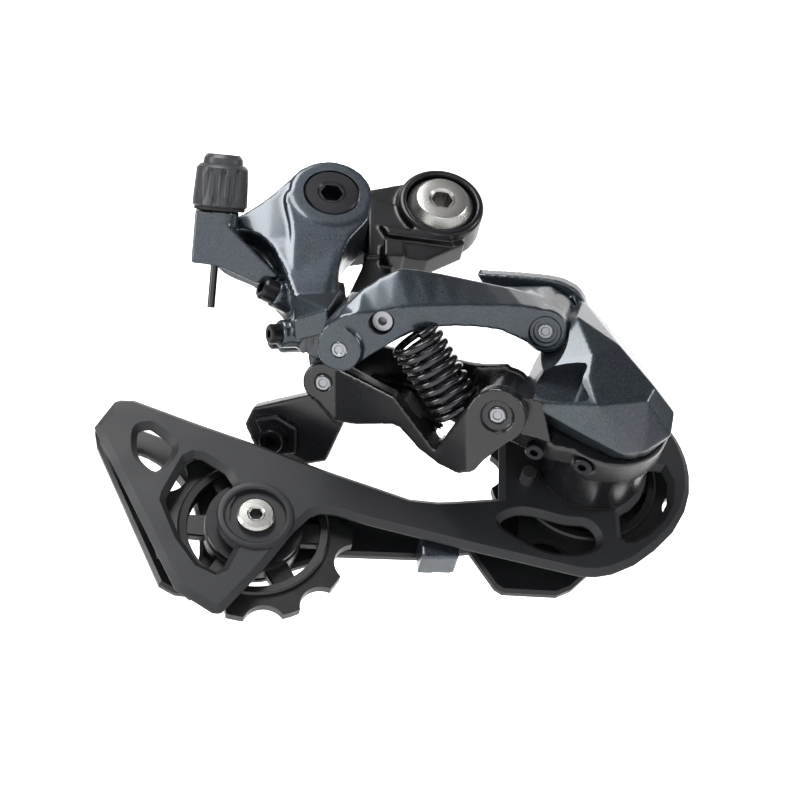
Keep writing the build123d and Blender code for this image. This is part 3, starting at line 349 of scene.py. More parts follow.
def curve_through(points, per=6):
    """A closed loop that runs smoothly through points; a point given twice stays a corner."""
    loop = []
    count = len(points)
    for index in range(count):
        a, b, c, d = (Vector(points[(index + step) % count]) for step in (-1, 0, 1, 2))
        if (c - b).length < 1e-6:
            continue
        for step in range(per):
            t = step / per
            bend, twist = 2 * a - 5 * b + 4 * c - d, 3 * b - a - 3 * c + d
            loop.append(0.5 * (2 * b + (c - a) * t + bend * t * t + twist * t ** 3))
    return loop


def side_point(x, z, out):
    """A point by its X and Z and its distance outboard, in mm."""
    return Vector((x, -out, z))


def slab(points, place, low, high):
    """A closed block over a loop, between two heights that may be functions of the loop's own coordinates."""
    work = bmesh.new()
    rings = []
    for level in (low, high):
        ring = []
        for point in points:
            height = level(point[0], point[1]) if callable(level) else level
            ring.append(work.verts.new(place(point[0], point[1], height) * MM))
        rings.append(ring)
    enclose(work, rings)
    bmesh.ops.triangulate(work, faces=[f for f in work.faces if len(f.verts) > 4])
    return piece_of(work, "slab")


def loft(sections):
    """A closed block through sections that each list the same number of points, in mm in the row frame."""
    work = bmesh.new()
    enclose(work, [[work.verts.new(Vector(point) * MM) for point in section] for section in sections])
    bmesh.ops.triangulate(work, faces=work.faces)
    return piece_of(work, "loft")


def hull(points):
    """The faceted block round a set of points, in mm in the row frame."""
    work = bmesh.new()
    for point in points:
        work.verts.new(Vector(point) * MM)
    bmesh.ops.convex_hull(work, input=work.verts)
    spare = [v for v in work.verts if not v.link_faces]
    bmesh.ops.delete(work, geom=spare, context="VERTS")
    bmesh.ops.recalc_face_normals(work, faces=work.faces)
    return piece_of(work, "hull")


def rod(centre, along, radius, low, high, segments=48):
    """A plain round bar, for adding to or cutting from other pieces."""
    return turned("rod", centre, along, [(low, radius), (high, radius)], segments)


def modelled(name, blocks, grain, rounds, cutters=()):
    """Blocks melted into one forging with soft edges, then machined with sharp-edged cutters."""
    piece = softened(join(name, blocks), grain, rounds)
    cut(piece, cutters)
    sharpen(piece.data, 38)
    return piece


def cut(piece, cutters):
    """Takes each cutter's volume out of a piece, and removes the cutters."""
    for cutter in cutters:
        saw = piece.modifiers.new("cut", "BOOLEAN")
        saw.operation = "DIFFERENCE"
        saw.solver = "EXACT"
        saw.object = cutter
    if cutters:
        apply_modifiers(piece)
    for cutter in cutters:
        bpy.data.objects.remove(cutter)
    return piece


def chamfered_plate(name, loops, low, high, bevel):
    """A flat plate with windows, its edges all chamfered: loops in X and Z, heights outboard, in mm."""
    curve = bpy.data.curves.new(name, "CURVE")
    curve.dimensions = "2D"
    curve.fill_mode = "BOTH"
    for loop in loops:
        spline = curve.splines.new("POLY")
        spline.points.add(len(loop) - 1)
        for point, place in zip(spline.points, loop):
            point.co = (place[0] * MM, place[1] * MM, 0, 1)
        spline.use_cyclic_u = True
    curve.extrude = ((high - low) / 2 - bevel) * MM
    curve.bevel_depth = bevel * MM
    curve.bevel_resolution = 0
    curve.offset = -bevel * MM
    outline = object_from(name + "_outline", curve)
    graph = bpy.context.evaluated_depsgraph_get()
    mesh = bpy.data.meshes.new_from_object(outline.evaluated_get(graph))
    bpy.data.objects.remove(outline)
    upright = Matrix(((1, 0, 0, 0), (0, 0, -1, -(high + low) / 2 * MM), (0, 1, 0, 0), (0, 0, 0, 1)))
    mesh.transform(upright)
    work = bmesh.new()
    work.from_mesh(mesh)
    bmesh.ops.remove_doubles(work, verts=work.verts, dist=2e-6)
    bmesh.ops.recalc_face_normals(work, faces=work.faces)
    work.to_mesh(mesh)
    work.free()
    sharpen(mesh, 24)
    return object_from(name, mesh)


def arc(x, z, radius, start, stop, steps=24):
    """Points along an arc in X and Z, angles in degrees."""
    return [(x + radius * cos(radians(start + (stop - start) * i / steps)),
             z + radius * sin(radians(start + (stop - start) * i / steps))) for i in range(steps + 1)]


def turned(name, centre, along, rings, segments=72):
    """A lathe-like piece: rings of (height, radius) in mm along an axis, closed at both ends."""
    work = bmesh.new()
    turn = Vector((0, 0, 1)).rotation_difference(Vector(along).normalized()).to_matrix()
    loops = []
    for height, radius in rings:
        loop = []
        for index in range(segments):
            angle = 2 * pi * index / segments
            point = Vector((radius * cos(angle), radius * sin(angle), height)) * MM
            loop.append(work.verts.new(Vector(centre) * MM + turn @ point))
        loops.append(loop)
    enclose(work, loops)
    piece = piece_of(work, name)
    sharpen(piece.data, HEAD_CREASE)
    return piece


def ring_piece(section, segments=96):
    """A closed ring about local Z from a section of (radius, height) points, in mm."""
    work = bmesh.new()
    columns = []
    for index in range(segments):
        angle = 2 * pi * index / segments
        columns.append([work.verts.new(Vector((r * cos(angle), r * sin(angle), h)) * MM) for r, h in section])
    for one, two in zip(columns, columns[1:] + columns[:1]):
        walls(work, one, two)
    bmesh.ops.recalc_face_normals(work, faces=work.faces)
    return piece_of(work, "ring")


def join(name, pieces):
    """Several meshes as one."""
    work = bmesh.new()
    for piece in pieces:
        work.from_mesh(piece.data)
        bpy.data.objects.remove(piece)
    return piece_of(work, name)


# ------------------------------------------------------------------ geometry node trees
def coil_tree():
    """A closed coil of round wire along local Z."""
    tree = bpy.data.node_groups.new("Coil of wire", "GeometryNodeTree")
    face = tree.interface
    face.new_socket("Geometry", in_out="INPUT", socket_type="NodeSocketGeometry")
    for title in ("Radius", "Wire radius", "Height", "Turns"):
        face.new_socket(title, in_out="INPUT", socket_type="NodeSocketFloat")
    face.new_socket("Finish", in_out="INPUT", socket_type="NodeSocketMaterial")
    face.new_socket("Geometry", in_out="OUTPUT", socket_type="NodeSocketGeometry")
    given = add(tree, "NodeGroupInput")
    spiral = add(tree, "GeometryNodeCurveSpiral", {"Resolution": 48},
                 {"Rotations": given.outputs["Turns"], "Start Radius": given.outputs["Radius"],
                  "End Radius": given.outputs["Radius"], "Height": given.outputs["Height"]})
    section = add(tree, "GeometryNodeCurvePrimitiveCircle", {"Resolution": 14},
                  {"Radius": given.outputs["Wire radius"]})
    wire = add(tree, "GeometryNodeCurveToMesh", {"Fill Caps": True},
               {"Curve": spiral.outputs[0], "Profile Curve": section.outputs[0]})
    smooth = add(tree, "GeometryNodeSetShadeSmooth", {}, {"Geometry": wire.outputs[0]})
    real = add(tree, "GeometryNodeRealizeInstances", {}, {"Geometry": smooth.outputs[0]})
    finish = add(tree, "GeometryNodeSetMaterial", {},
                 {"Geometry": real.outputs[0], "Material": given.outputs["Finish"]})
    add(tree, "NodeGroupOutput", {}, {"Geometry": finish.outputs[0]})
    return tree


def around_tree():
    """Copies of a piece set evenly round local Z, welded where they meet."""
    tree = bpy.data.node_groups.new("Copies round an axis", "GeometryNodeTree")
    face = tree.interface
    face.new_socket("Geometry", in_out="INPUT", socket_type="NodeSocketGeometry")
    face.new_socket("Count", in_out="INPUT", socket_type="NodeSocketInt")
    face.new_socket("Weld", in_out="INPUT", socket_type="NodeSocketFloat")
    face.new_socket("Finish", in_out="INPUT", socket_type="NodeSocketMaterial")
    face.new_socket("Geometry", in_out="OUTPUT", socket_type="NodeSocketGeometry")
    given = add(tree, "NodeGroupInput")
    spots = add(tree, "GeometryNodePoints", {}, {"Count": given.outputs["Count"]})
    number = add(tree, "GeometryNodeInputIndex")
    part = add(tree, "ShaderNodeMath", {"operation": "DIVIDE"},
               {0: number.outputs[0], 1: given.outputs["Count"]})
    angle = add(tree, "ShaderNodeMath", {"operation": "MULTIPLY", 1: 2 * pi}, {0: part.outputs[0]})
    turn = add(tree, "ShaderNodeCombineXYZ", {}, {"Z": angle.outputs[0]})
    rotation = add(tree, "FunctionNodeEulerToRotation", {}, {0: turn.outputs[0]})
    copies = add(tree, "GeometryNodeInstanceOnPoints", {},
                 {"Points": spots.outputs[0], "Instance": given.outputs["Geometry"],
                  "Rotation": rotation.outputs[0]})
    real = add(tree, "GeometryNodeRealizeInstances", {}, {"Geometry": copies.outputs[0]})
    weld = add(tree, "GeometryNodeMergeByDistance", {},
               {"Geometry": real.outputs[0], "Distance": given.outputs["Weld"]})
    finish = add(tree, "GeometryNodeSetMaterial", {},
                 {"Geometry": weld.outputs[0], "Material": given.outputs["Finish"]})
    add(tree, "NodeGroupOutput", {}, {"Geometry": finish.outputs[0]})
    return tree


def run_tree(piece, tree, values):
    """Runs a node tree on a piece with its inputs set by identifier, and keeps the plain mesh."""
    modifier = piece.modifiers.new(tree.name, "NODES")
    modifier.node_group = tree
    for item in tree.interface.items_tree:
        if item.in_out == "INPUT" and item.name in values:
            modifier[item.identifier] = values[item.name]
    return apply_modifiers(piece)


def put(piece, centre, along):
    """Moves a piece's mesh from local Z to an axis through centre, both in the row frame, in mm."""
    turn = Vector((0, 0, 1)).rotation_difference(Vector(along).normalized()).to_matrix().to_4x4()
    piece.data.transform(Matrix.Translation(Vector(centre) * MM) @ turn)
    return piece


# ------------------------------------------------------------------ key places, in mm in the row frame
PIN = Vector((-0.27699, -0.54699, -0.78998))
ALONG = Vector((0.95077, -0.27494, -0.14300))
ACROSS = Vector((-0.13898, -0.79070, 0.59622))
B1 = Vector((-28.2, -27.0, -63.6))
LINK_LENGTH = 46.4
# how far the outer link's front and rear faces run along the pins over its length
FRONT_RUN, REAR_RUN = -20.6, -11.8
PIVOT = (38.4, -71.0)
TENSION = (-44.1, -93.0)
CHAIN_LINE = 10.0
OUT = Vector((0, -1, 0))
LEAN = Vector((0, -0.66, 0.75126))
CABLE = Vector((-58.2, -22.0, -20.0))
SCREWS = (
    (Vector((-43.4, -14.8, -39.0)), Vector((-0.87, -0.45, 0.05))),
    (Vector((-41.5, -12.2, -49.5)), Vector((-0.93, -0.22, -0.28))),
    (Vector((-40.6, -5.6, -46.2)), Vector((-0.93, -0.22, -0.28))),
)
TREES = {}


def link_point(u, v, w):
    """A point given along the links, across them and along their pins."""
    return B1 + ALONG * u + ACROSS * v + PIN * w


LOWER_PIN = link_point(LINK_LENGTH, 0, 0)
INNER_UPPER_PIN = link_point(-8.55, -14.43, 0)
UPPER_AXLE = (-30, 0, -9)


def panel_point(x, s, n):
    """A point by X and the boss's own lean, from the boss's top, and its height outboard."""
    return CABLE + Vector((x, 0, 0)) + LEAN * s + Vector((0, -LEAN.z, LEAN.y)) * n


def socketed(piece, centre, along, face, across, deep):
    """Cuts a crisp hexagon socket into a head."""
    key = rod(centre, along, across / 2 / cos(pi / 6), face - deep, face + 3.0, 6)
    cut(piece, [key])
    sharpen(piece.data, HEAD_CREASE)
    return piece


# ------------------------------------------------------------------ operators
class DERAILLEUR_OT_stage(bpy.types.Operator):
    """Pale floor, soft studio lights and the camera"""
    bl_idname = "derailleur.stage"
    bl_label = "Stage"

    def execute(self, context):
        world = bpy.data.worlds.new("pale studio")
        world.use_nodes = True
        world.node_tree.nodes["Background"].inputs[0].default_value = linear("#ffffff")
        world.node_tree.nodes["Background"].inputs[1].default_value = 0.3
        context.scene.world = world
        context.scene.view_settings.view_transform = "Standard"
        work = bmesh.new()
        bmesh.ops.create_grid(work, x_segments=2, y_segments=2, size=1.6)
        mesh = bpy.data.meshes.new("floor")
        work.to_mesh(mesh)
        work.free()
        drop = 0.42
        mesh.transform(Matrix.Translation((0, 0, -drop)))
        floor = object_from("floor", mesh)
        material, tree = new_material("matt white paper")
        speck = add(tree, "ShaderNodeTexNoise", {"Scale": 600.0})
        tone = add(tree, "ShaderNodeMapRange", {"To Min": 0.82, "To Max": 0.88},
                   {"Value": speck.outputs["Fac"]})
        shader = add(tree, "ShaderNodeBsdfPrincipled",
                     {"Roughness": 0.9, "Emission Color": linear("#ffffff"), "Emission Strength": 1.0},
                     {"Base Color": tone.outputs[0]})
        add(tree, "ShaderNodeOutputMaterial", {}, {"Surface": shader.outputs[0]})
        mesh.materials.append(material)
        right = Vector((0.98953, -0.14436, 0.0))
        up = Vector((-0.08197, -0.56190, 0.82314))
        back = Vector((-0.11882, -0.81451, -0.56784))
        middle = Vector((-12, -5, -58)) * MM
        # the same paper hung behind the object, facing the camera
        mesh = floor.data.copy()
        mesh.transform(Matrix.Translation((0, 0, drop)))
        mesh.transform(Matrix((right, up, back)).transposed().to_4x4())
        mesh.transform(Matrix.Translation(middle - back * 1.5))
        object_from("backdrop", mesh)
        # place right, up and back from the middle of the object, in metres, then size and power
        for name, spot, size, power in (
            ("top softbox", (-0.15, 0.55, 0.15), 0.34, 6.0),
            ("left softbox", (-0.6, 0.1, 0.25), 0.26, 3.4),
            ("right softbox", (0.6, 0.2, 0.1), 0.22, 2.0),
            ("front softbox", (0.1, 0.25, 0.75), 0.3, 0.9),
        ):
            light = bpy.data.lights.new(name, "AREA")
            light.size = size
            light.energy = power
            lamp = bpy.data.objects.new(name, light)
            lamp.location = middle + right * spot[0] + up * spot[1] + back * spot[2]
            lamp.rotation_euler = (lamp.location - middle).to_track_quat("Z", "Y").to_euler()
            context.scene.collection.objects.link(lamp)
        camera = bpy.data.cameras.new("camera")
        camera.lens = 93.4
        camera.sensor_width = 36
        camera.clip_start = 0.01
        eye = bpy.data.objects.new("camera", camera)
        eye.matrix_world = Matrix((
            (right.x, up.x, back.x, -0.071167), (right.y, up.y, back.y, -0.421600),
            (right.z, up.z, back.z, -0.351612),
            (0, 0, 0, 1)))
        context.scene.collection.objects.link(eye)
        context.scene.camera = eye
        return {"FINISHED"}


class DERAILLEUR_OT_forgings(bpy.types.Operator):
    """The forged and moulded bodies, with their edges softened"""
    bl_idname = "derailleur.forgings"
    bl_label = "Forgings"

    def execute(self, context):
        grain = context.scene.derailleur_sizes.forging_grain
        for node, rounds in (("bracket", 5), ("inner_link", 5), ("p_knuckle", 5), ("chain_guard", 4),
                             ("cable_clamp_plate", 3)):
            settle(forged(node, node + "_body", grain, rounds), node)
        return {"FINISHED"}


class DERAILLEUR_OT_upper_knuckle(bpy.types.Operator):
    """The painted upper knuckle: ring, curved flange, deep pocket, cable boss and arm"""
    bl_idname = "derailleur.upper_knuckle"
    bl_label = "Upper knuckle"

    def execute(self, context):
        grain = context.scene.derailleur_sizes.forging_grain
        ring = rod(UPPER_AXLE, OUT, 10.4, 6.5, 19.5, 96)
        # flange from the cable boss up to the ring, and down the rear of the arm
        flange = [(-63.0, -21.4), (-63.0, -21.4), (-57.0, -19.2), (-52.9, -17.4), (-46.5, -12.0),
                  (-41.2, -5.8), (-36.5, -1.0), (-30, -4), (-28, -20), (-30.5, -40), (-34.0, -52),
                  (-37.0, -50), (-38.5, -43.0), (-41.5, -33.5), (-45.0, -26.5), (-50.0, -22.6),
                  (-57.0, -21.6)]
        arm = [(-40.4, -9.0), (-40.0, -22.0), (-39.2, -34.0), (-36.6, -45.0), (-33.4, -52.5), (-33.4, -52.5),
               (-28.0, -52.5), (-28.0, -52.5), (-27.4, -44.0), (-27.6, -33.0), (-25.4, -24.0), (-20.6, -13.0)]
        # flat panel that runs from the boss down to the arm, along the boss's own lean
        panel = [(-5.9, -0.2), (-5.9, -0.2), (-0.6, -1.0), (-0.6, -1.0), (16.2, -15.2), (16.2, -15.2),
                 (10.8, -17.4), (10.8, -17.4), (1.0, -14.1), (-5.9, -13.6), (-5.9, -13.6)]
        floor = [(-60.0, -21.0), (-42.0, -10.0), (-38.0, -30.0), (-37.5, -44.0), (-42.0, -40.0),
                 (-47.0, -33.5), (-56.0, -29.0)]
        blocks = [ring,
                  slab(curve_through(flange), side_point, 8.5,
                       lambda x, z: min(19.1, 19.1 + 0.13 * (x + 39))),
                  slab(curve_through(arm), side_point, 5.0, lambda x, z: 19.0 + 0.02 * (z + 30)),
                  slab(curve_through(panel), panel_point, -4.0, 4.6),
                  slab(curve_through(floor), side_point, 8.0, 12.4)]
        blocks.append(turned("boss", CABLE, LEAN, [(-13.5, 4.1), (-12.8, 4.5), (-0.3, 5.0)]))
        # barrels of the two link pins and the webs that carry them
        blocks.append(rod(B1, PIN, 4.9, -26.1, -4.6))
        blocks.append(rod(INNER_UPPER_PIN, PIN, 4.9, -34.0, -22.2))
        neck = [side_point(x, z, out) for x, z in ((-38.4, -42.0), (-27.6, -40.0)) for out in (8.5, 18.7)]
        neck += [link_point(u, v, w) for u, v in ((-13.0, -1.5), (-13.2, 4.0), (-4.2, 1.0),
                                                  (-4.6, 7.0)) for w in (-26.0, -9.5)]
        blocks.append(hull(neck))
        lower = [(-13.2, 7.0), (-13.2, 7.0), (-6.0, 7.0), (-6.0, 7.0), (-4.8, -13.0), (-12.6, -14.0)]
        blocks.append(slab(curve_through(lower), link_point, -34.0, -22.2))
        for centre, along in SCREWS:
            blocks.append(rod(centre, along, 3.5, -6.5, -0.1))
        cutters = [rod(UPPER_AXLE, OUT, 7.3, 17.55, 30.0, 96), rod(UPPER_AXLE, OUT, 4.8, 0.0, 30.0),
                   rod(CABLE, LEAN, 2.6, -9.0, 2.0), rod(CABLE, LEAN, 1.0, -30.0, 1.0),
                   rod(B1, PIN, 14.0, -4.5, 20.0), rod(B1, PIN, 5.8, -30.0, -26.35)]
        cutters.append(rod(INNER_UPPER_PIN, PIN, 9.0, -22.05, -12.0))
        cutters.append(rod(INNER_UPPER_PIN, PIN, 6.1, -38.0, -34.35))
        for centre, along in SCREWS:
            cutters.append(rod(centre, along, 3.2, 0.0, 9.0))
        # way for the bracket's stop arm
        way = [(-29.5, -36.5), (-25.2, -32.5), (-20.5, -20.0), (10, -20), (10, -43.0), (-29.5, -43.0)]
        cutters.append(slab(way, side_point, 1.9, 6.9))
        settle(modelled("upper_knuckle_body", blocks, grain, 7, cutters), "b_knuckle")
        return {"FINISHED"}


class DERAILLEUR_OT_outer_link(bpy.types.Operator):
    """The painted outer link: a front web, a sloping top and a rear web"""
    bl_idname = "derailleur.outer_link"
    bl_label = "Outer link"

    def execute(self, context):
        grain = context.scene.derailleur_sizes.forging_grain
        # each station: distance along, then bottom edge, upper front corner and ridge across
        stations = ((-5.0, 0.0, 2.6, 3.2), (-3.4, -3.4, 5.4, 6.2), (0.5, -4.8, 8.0, 9.6),
                    (4.0, -3.9, 8.5, 12.6), (8.0, -1.6, 8.4, 14.8), (11.8, 0.6, 8.8, 16.2),
                    (16.0, 2.5, 9.1, 15.5), (21.0, 3.4, 8.9, 14.1), (26.0, 3.2, 8.6, 12.5),
                    (31.0, 2.5, 8.2, 10.9), (36.0, 1.2, 7.7, 9.3), (41.0, -1.8, 7.0, 7.5),
                    (45.0, -4.8, 5.9, 6.0), (48.5, -4.6, 3.9, 3.6), (51.2, -1.6, 1.2, 1.0))
        web, cap = [], []
        thick = 2.6
        for u, low, corner, top in stations:
            run = max(0.0, min(u, LINK_LENGTH)) / LINK_LENGTH
            face = FRONT_RUN * run
            rear = -29.4 + REAR_RUN * run
            deep = face - 10.0 * max(0.2, min(1.0, (u + 7) / 17, (54 - u) / 10))
            # the top falls away to the rear, so that its outline is set by the ridge
            fall = max(min(top, 5.9), top - 0.38 * (deep - rear))
            web.append([link_point(u, low, face), link_point(u, corner, face),
                        link_point(u, corner, face - 4.2),
                        link_point(u, low, face - 4.2)])
            cap.append([link_point(u, corner, face), link_point(u, top, deep), link_point(u, fall, rear),
                        link_point(u, fall - thick, rear), link_point(u, top - thick - 1.0, deep - 0.8),
                        link_point(u, corner - thick, face - 3.4)])
        ear = [(-5.0, 0.0), (-3.4, -4.0), (1.5, -4.8), (5.5, -2.8), (12.0, 1.0), (20.0, 2.8), (30.0, 1.4),
               (38.0, -0.6), (43.5, -4.4), (48.0, -4.8), (51.4, -1.0), (49.0, 3.4), (42.0, 5.2), (32.0, 6.2),
               (22.0, 8.2), (12.0, 9.4), (6.0, 8.0), (-1.0, 5.6)]
        slope = REAR_RUN / LINK_LENGTH
        blocks = [loft(web), loft(cap), rod(B1, PIN, 5.4, -4.2, 0.0), rod(LOWER_PIN, PIN, 5.5, -24.8, -20.4),
                  slab(curve_through(ear, 3), link_point,
                       lambda u, v: -29.5 + slope * max(0.0, min(u, LINK_LENGTH)),
                       lambda u, v: -26.8 + slope * max(0.0, min(u, LINK_LENGTH)))]
        cutters = [rod(link_point(9.5, 5.7, 0), PIN, 2.92, -22.0, 8.0),
                   rod(LOWER_PIN, PIN, 4.0, -21.1, -12.0),
                   rod(B1, PIN, 2.04, -40.0, 10.0), rod(LOWER_PIN, PIN, 2.04, -50.0, 10.0)]
        settle(modelled("outer_link_body", blocks, grain, 11, cutters), "outer_link")
        lip = turned("lip", LOWER_PIN, PIN,
                     [(-21.4, 2.3), (-21.4, 3.9), (-20.5, 3.9), (-20.3, 3.7), (-20.3, 3.0), (-20.9, 2.8),
                      (-20.9, 2.3)])
        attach(lip, "outer_link")
        lip.name = "outer_link_lip"
        lip.data.materials.append(PALETTE["metallic_grey_paint"])
        return {"FINISHED"}


class DERAILLEUR_OT_cover(bpy.types.Operator):
    """The faceted painted cover of the lower knuckle, with the flange behind the outer link"""
    bl_idname = "derailleur.cover"
    bl_label = "Lower cover"

    def execute(self, context):
        grain = context.scene.derailleur_sizes.forging_grain
        base = ((33.4, -37.6), (38.4, -43.2), (45.0, -52.0), (50.8, -61.6), (53.8, -70.4), (52.6, -76.6),
                (46.4, -82.6), (42.4, -84.2), (38.2, -84.0), (29.8, -80.0), (18.0, -73.5), (16.2, -68.2),
                (20.0, -58.0), (27.0, -44.0))
        points = [side_point(x, z, 21.1) for x, z in base]
        points += [side_point(x, z, out) for x, z, out in (
            (29.0, -51.0, 31.6), (38.4, -59.9, 33.4), (46.2, -71.2, 33.4), (44.0, -75.6, 33.8),
            (31.8, -78.6, 34.2), (21.0, -65.6, 31.4), (31.5, -64.4, 34.6), (30.2, -71.0, 34.4),
            (17.2, -74.8, 27.4), (28.6, -82.0, 28.0), (38.6, -86.2, 26.5), (44.4, -85.2, 26.5),
            (51.4, -79.4, 26.0), (52.4, -73.6, 27.0))]
        flange = ((26.0, 7.8), (26.0, 7.8), (41.0, 7.2), (48.6, 5.8), (53.2, 1.6), (54.0, -9.0),
                  (44.0, -12.0), (33.0, -3.0))
        blocks = [hull(points), slab(curve_through(flange, 4), link_point, -47.0, -42.6)]
        web = ((24.5, -38.0), (31.0, -36.0), (36.5, -44.0), (36.0, -56.0), (24.0, -56.0))
        blocks.append(slab(web, side_point, 15.0, 21.6))
        cutters = [rod(LOWER_PIN, PIN, 6.1, -24.9, 30.0),
                   rod(link_point(37.86, -14.43, 0), PIN, 8.4, -6.0, 40.0),
                   rod(LOWER_PIN, PIN, 6.1, -42.2, -38.0)]
        recess = ((20.5, -67.2), (29.6, -66.4), (28.6, -71.6), (29.6, -76.8), (19.0, -73.6))
        cutters.append(slab(curve_through(recess, 4), side_point, 28.2, 50.0))
        for centre in ((32.0, -17.4, -83.6), (20.5, -17.4, -80.5)):
            cutters.append(rod(centre, (-0.351, -0.151, -0.924), 2.7, -3.0, 9.0))
        piece = modelled("lower_cover_body", blocks, grain, 2, cutters)
        settle(piece, "p_knuckle_cover")
        return {"FINISHED"}


class DERAILLEUR_OT_knob(bpy.types.Operator):
    """The adjuster knob, with groups of slanted grooves and a stepped cap"""
    bl_idname = "derailleur.knob"
    bl_label = "Adjuster knob"

    def execute(self, context):
        groups = context.scene.derailleur_sizes.knob_groups
        # turn of the first group, and a groove's depth in mm and half width in degrees
        lead, groove_depth, groove_reach = 35.0, 0.7, 6.5
        profile = ((0.5, 2.7, 0), (0.5, 6.3, 0), (0.9, 6.8, 0), (2.2, 6.8, 1), (3.2, 6.75, 1), (8.4, 6.5, 1),
                   (9.4, 6.45, 1), (10.2, 6.35, 0), (11.0, 5.6, 0), (11.2, 4.95, 0), (12.6, 4.8, 0),
                   (13.4, 4.2, 0), (13.6, 3.9, 0), (13.6, 2.6, 0))
        segments = 288
        work = bmesh.new()
        turn = Vector((0, 0, 1)).rotation_difference(LEAN).to_matrix()
        rows = []
        for height, radius, grooved in profile:
            row = []
            for index in range(segments):
                degrees = 360 * index / segments
                slant = (height - 5.8) * 2.4
                within = (degrees - slant + lead) % (360 / groups) - 180 / groups
                depth = 0.0
                for spot in (-33, 0, 33):
                    depth = max(depth, groove_depth * max(0.0, 1 - abs((within - spot) / groove_reach) ** 3))
                reach = radius - depth * grooved
                point = Vector((reach * cos(radians(degrees)), reach * sin(radians(degrees)), height))
                row.append(work.verts.new((CABLE + turn @ point) * MM))
            rows.append(row)
        for low, high in zip(rows, rows[1:] + rows[:1]):
            walls(work, low, high)
        bmesh.ops.recalc_face_normals(work, faces=work.faces)
        piece = piece_of(work, "adjuster_knob_body")
        sharpen(piece.data, 30)
        settle(piece, "adjuster_knob")
        return {"FINISHED"}


def toothed_rim(teeth):
    """One tooth gap between two tips, set round the axis once for each tooth."""
    # the rollers' centres and radius, the tooth tips and the rim's inside, in mm
    roller_circle, roller, tip, inside = 26.0, 5.2, 24.1, 17.2
    pitch = 2 * pi / teeth
    steps = 26
    outer, inner = [], []
    for index in range(steps + 1):
        angle = pitch * (index / steps)
        away = abs(angle - pitch / 2)
        # distance along this ray to the roller seat's circle, or the tip circle where it misses
        side_off = roller_circle * sin(away)
        reach = tip
        if side_off < roller:
            reach = min(tip, roller_circle * cos(away) - (roller ** 2 - side_off ** 2) ** 0.5)
        outer.append((reach, angle))
        inner.append((inside, angle))
    work = bmesh.new()
    rings = [[work.verts.new(Vector((r * cos(a), r * sin(a), half)) * MM) for r, a in outer + inner[::-1]]
             for half in (-1.15, 1.15)]
    count = len(rings[0])
    # the two ends stay open, and meet the next tooth's
    for index in range(count):
        if index not in (steps, count - 1):
            work.faces.new((rings[0][index], rings[0][index + 1], rings[1][index + 1], rings[1][index]))
    for ring, flip in ((rings[0], True), (rings[1], False)):
        for index in range(steps):
            quad = [ring[index], ring[index + 1], ring[count - 2 - index], ring[count - 1 - index]]
            work.faces.new(quad[::-1] if flip else quad)
    return run_tree(piece_of(work, "teeth"), TREES["around"],
                    {"Count": teeth, "Weld": 0.02 * MM, "Finish": PALETTE["pulley_resin"]})


def wheel_spokes(count):
    """Round-edged flat spokes from the hub to the rim."""
    outline = ((8.4, -3.2), (17.0, -2.9), (17.0, 2.9), (8.4, 3.2))
    work = bmesh.new()
    enclose(work, [[work.verts.new(Vector((x, y, half)) * MM) for x, y in outline] for half in (-1.3, 1.3)])
    bmesh.ops.bevel(work, geom=list(work.edges), offset=0.4 * MM, segments=2, affect="EDGES")
    return run_tree(piece_of(work, "spokes"), TREES["around"],
                    {"Count": count, "Weld": 0.0, "Finish": PALETTE["pulley_resin"]})


class DERAILLEUR_OT_pulleys(bpy.types.Operator):
    """The two toothed pulleys: a toothed rim, spokes and a hub"""
    bl_idname = "derailleur.pulleys"
    bl_label = "Pulleys"

    def execute(self, context):
        teeth = context.scene.derailleur_sizes.teeth
        for node, centre in (("guide_pulley", PIVOT), ("tension_pulley", TENSION)):
            rim, spokes = toothed_rim(teeth), wheel_spokes(6)
            band = ring_piece([(16.0, -1.2), (16.2, -2.2), (17.9, -2.3), (18.4, -1.9), (18.4, 1.9),
                               (17.9, 2.3), (16.2, 2.2), (16.0, 1.2)])
            hub = ring_piece([(4.05, -2.85), (8.2, -2.85), (8.8, -2.4), (12.0, -1.6), (12.0, 1.6), (8.8, 2.4),
                              (8.2, 2.85), (4.05, 2.85)])
            piece = join(node + "_body", [rim, spokes, band, hub])
            put(piece, (centre[0], CHAIN_LINE, centre[1]), OUT)
            sharpen(piece.data, 32)
            settle(piece, node)
        return {"FINISHED"}


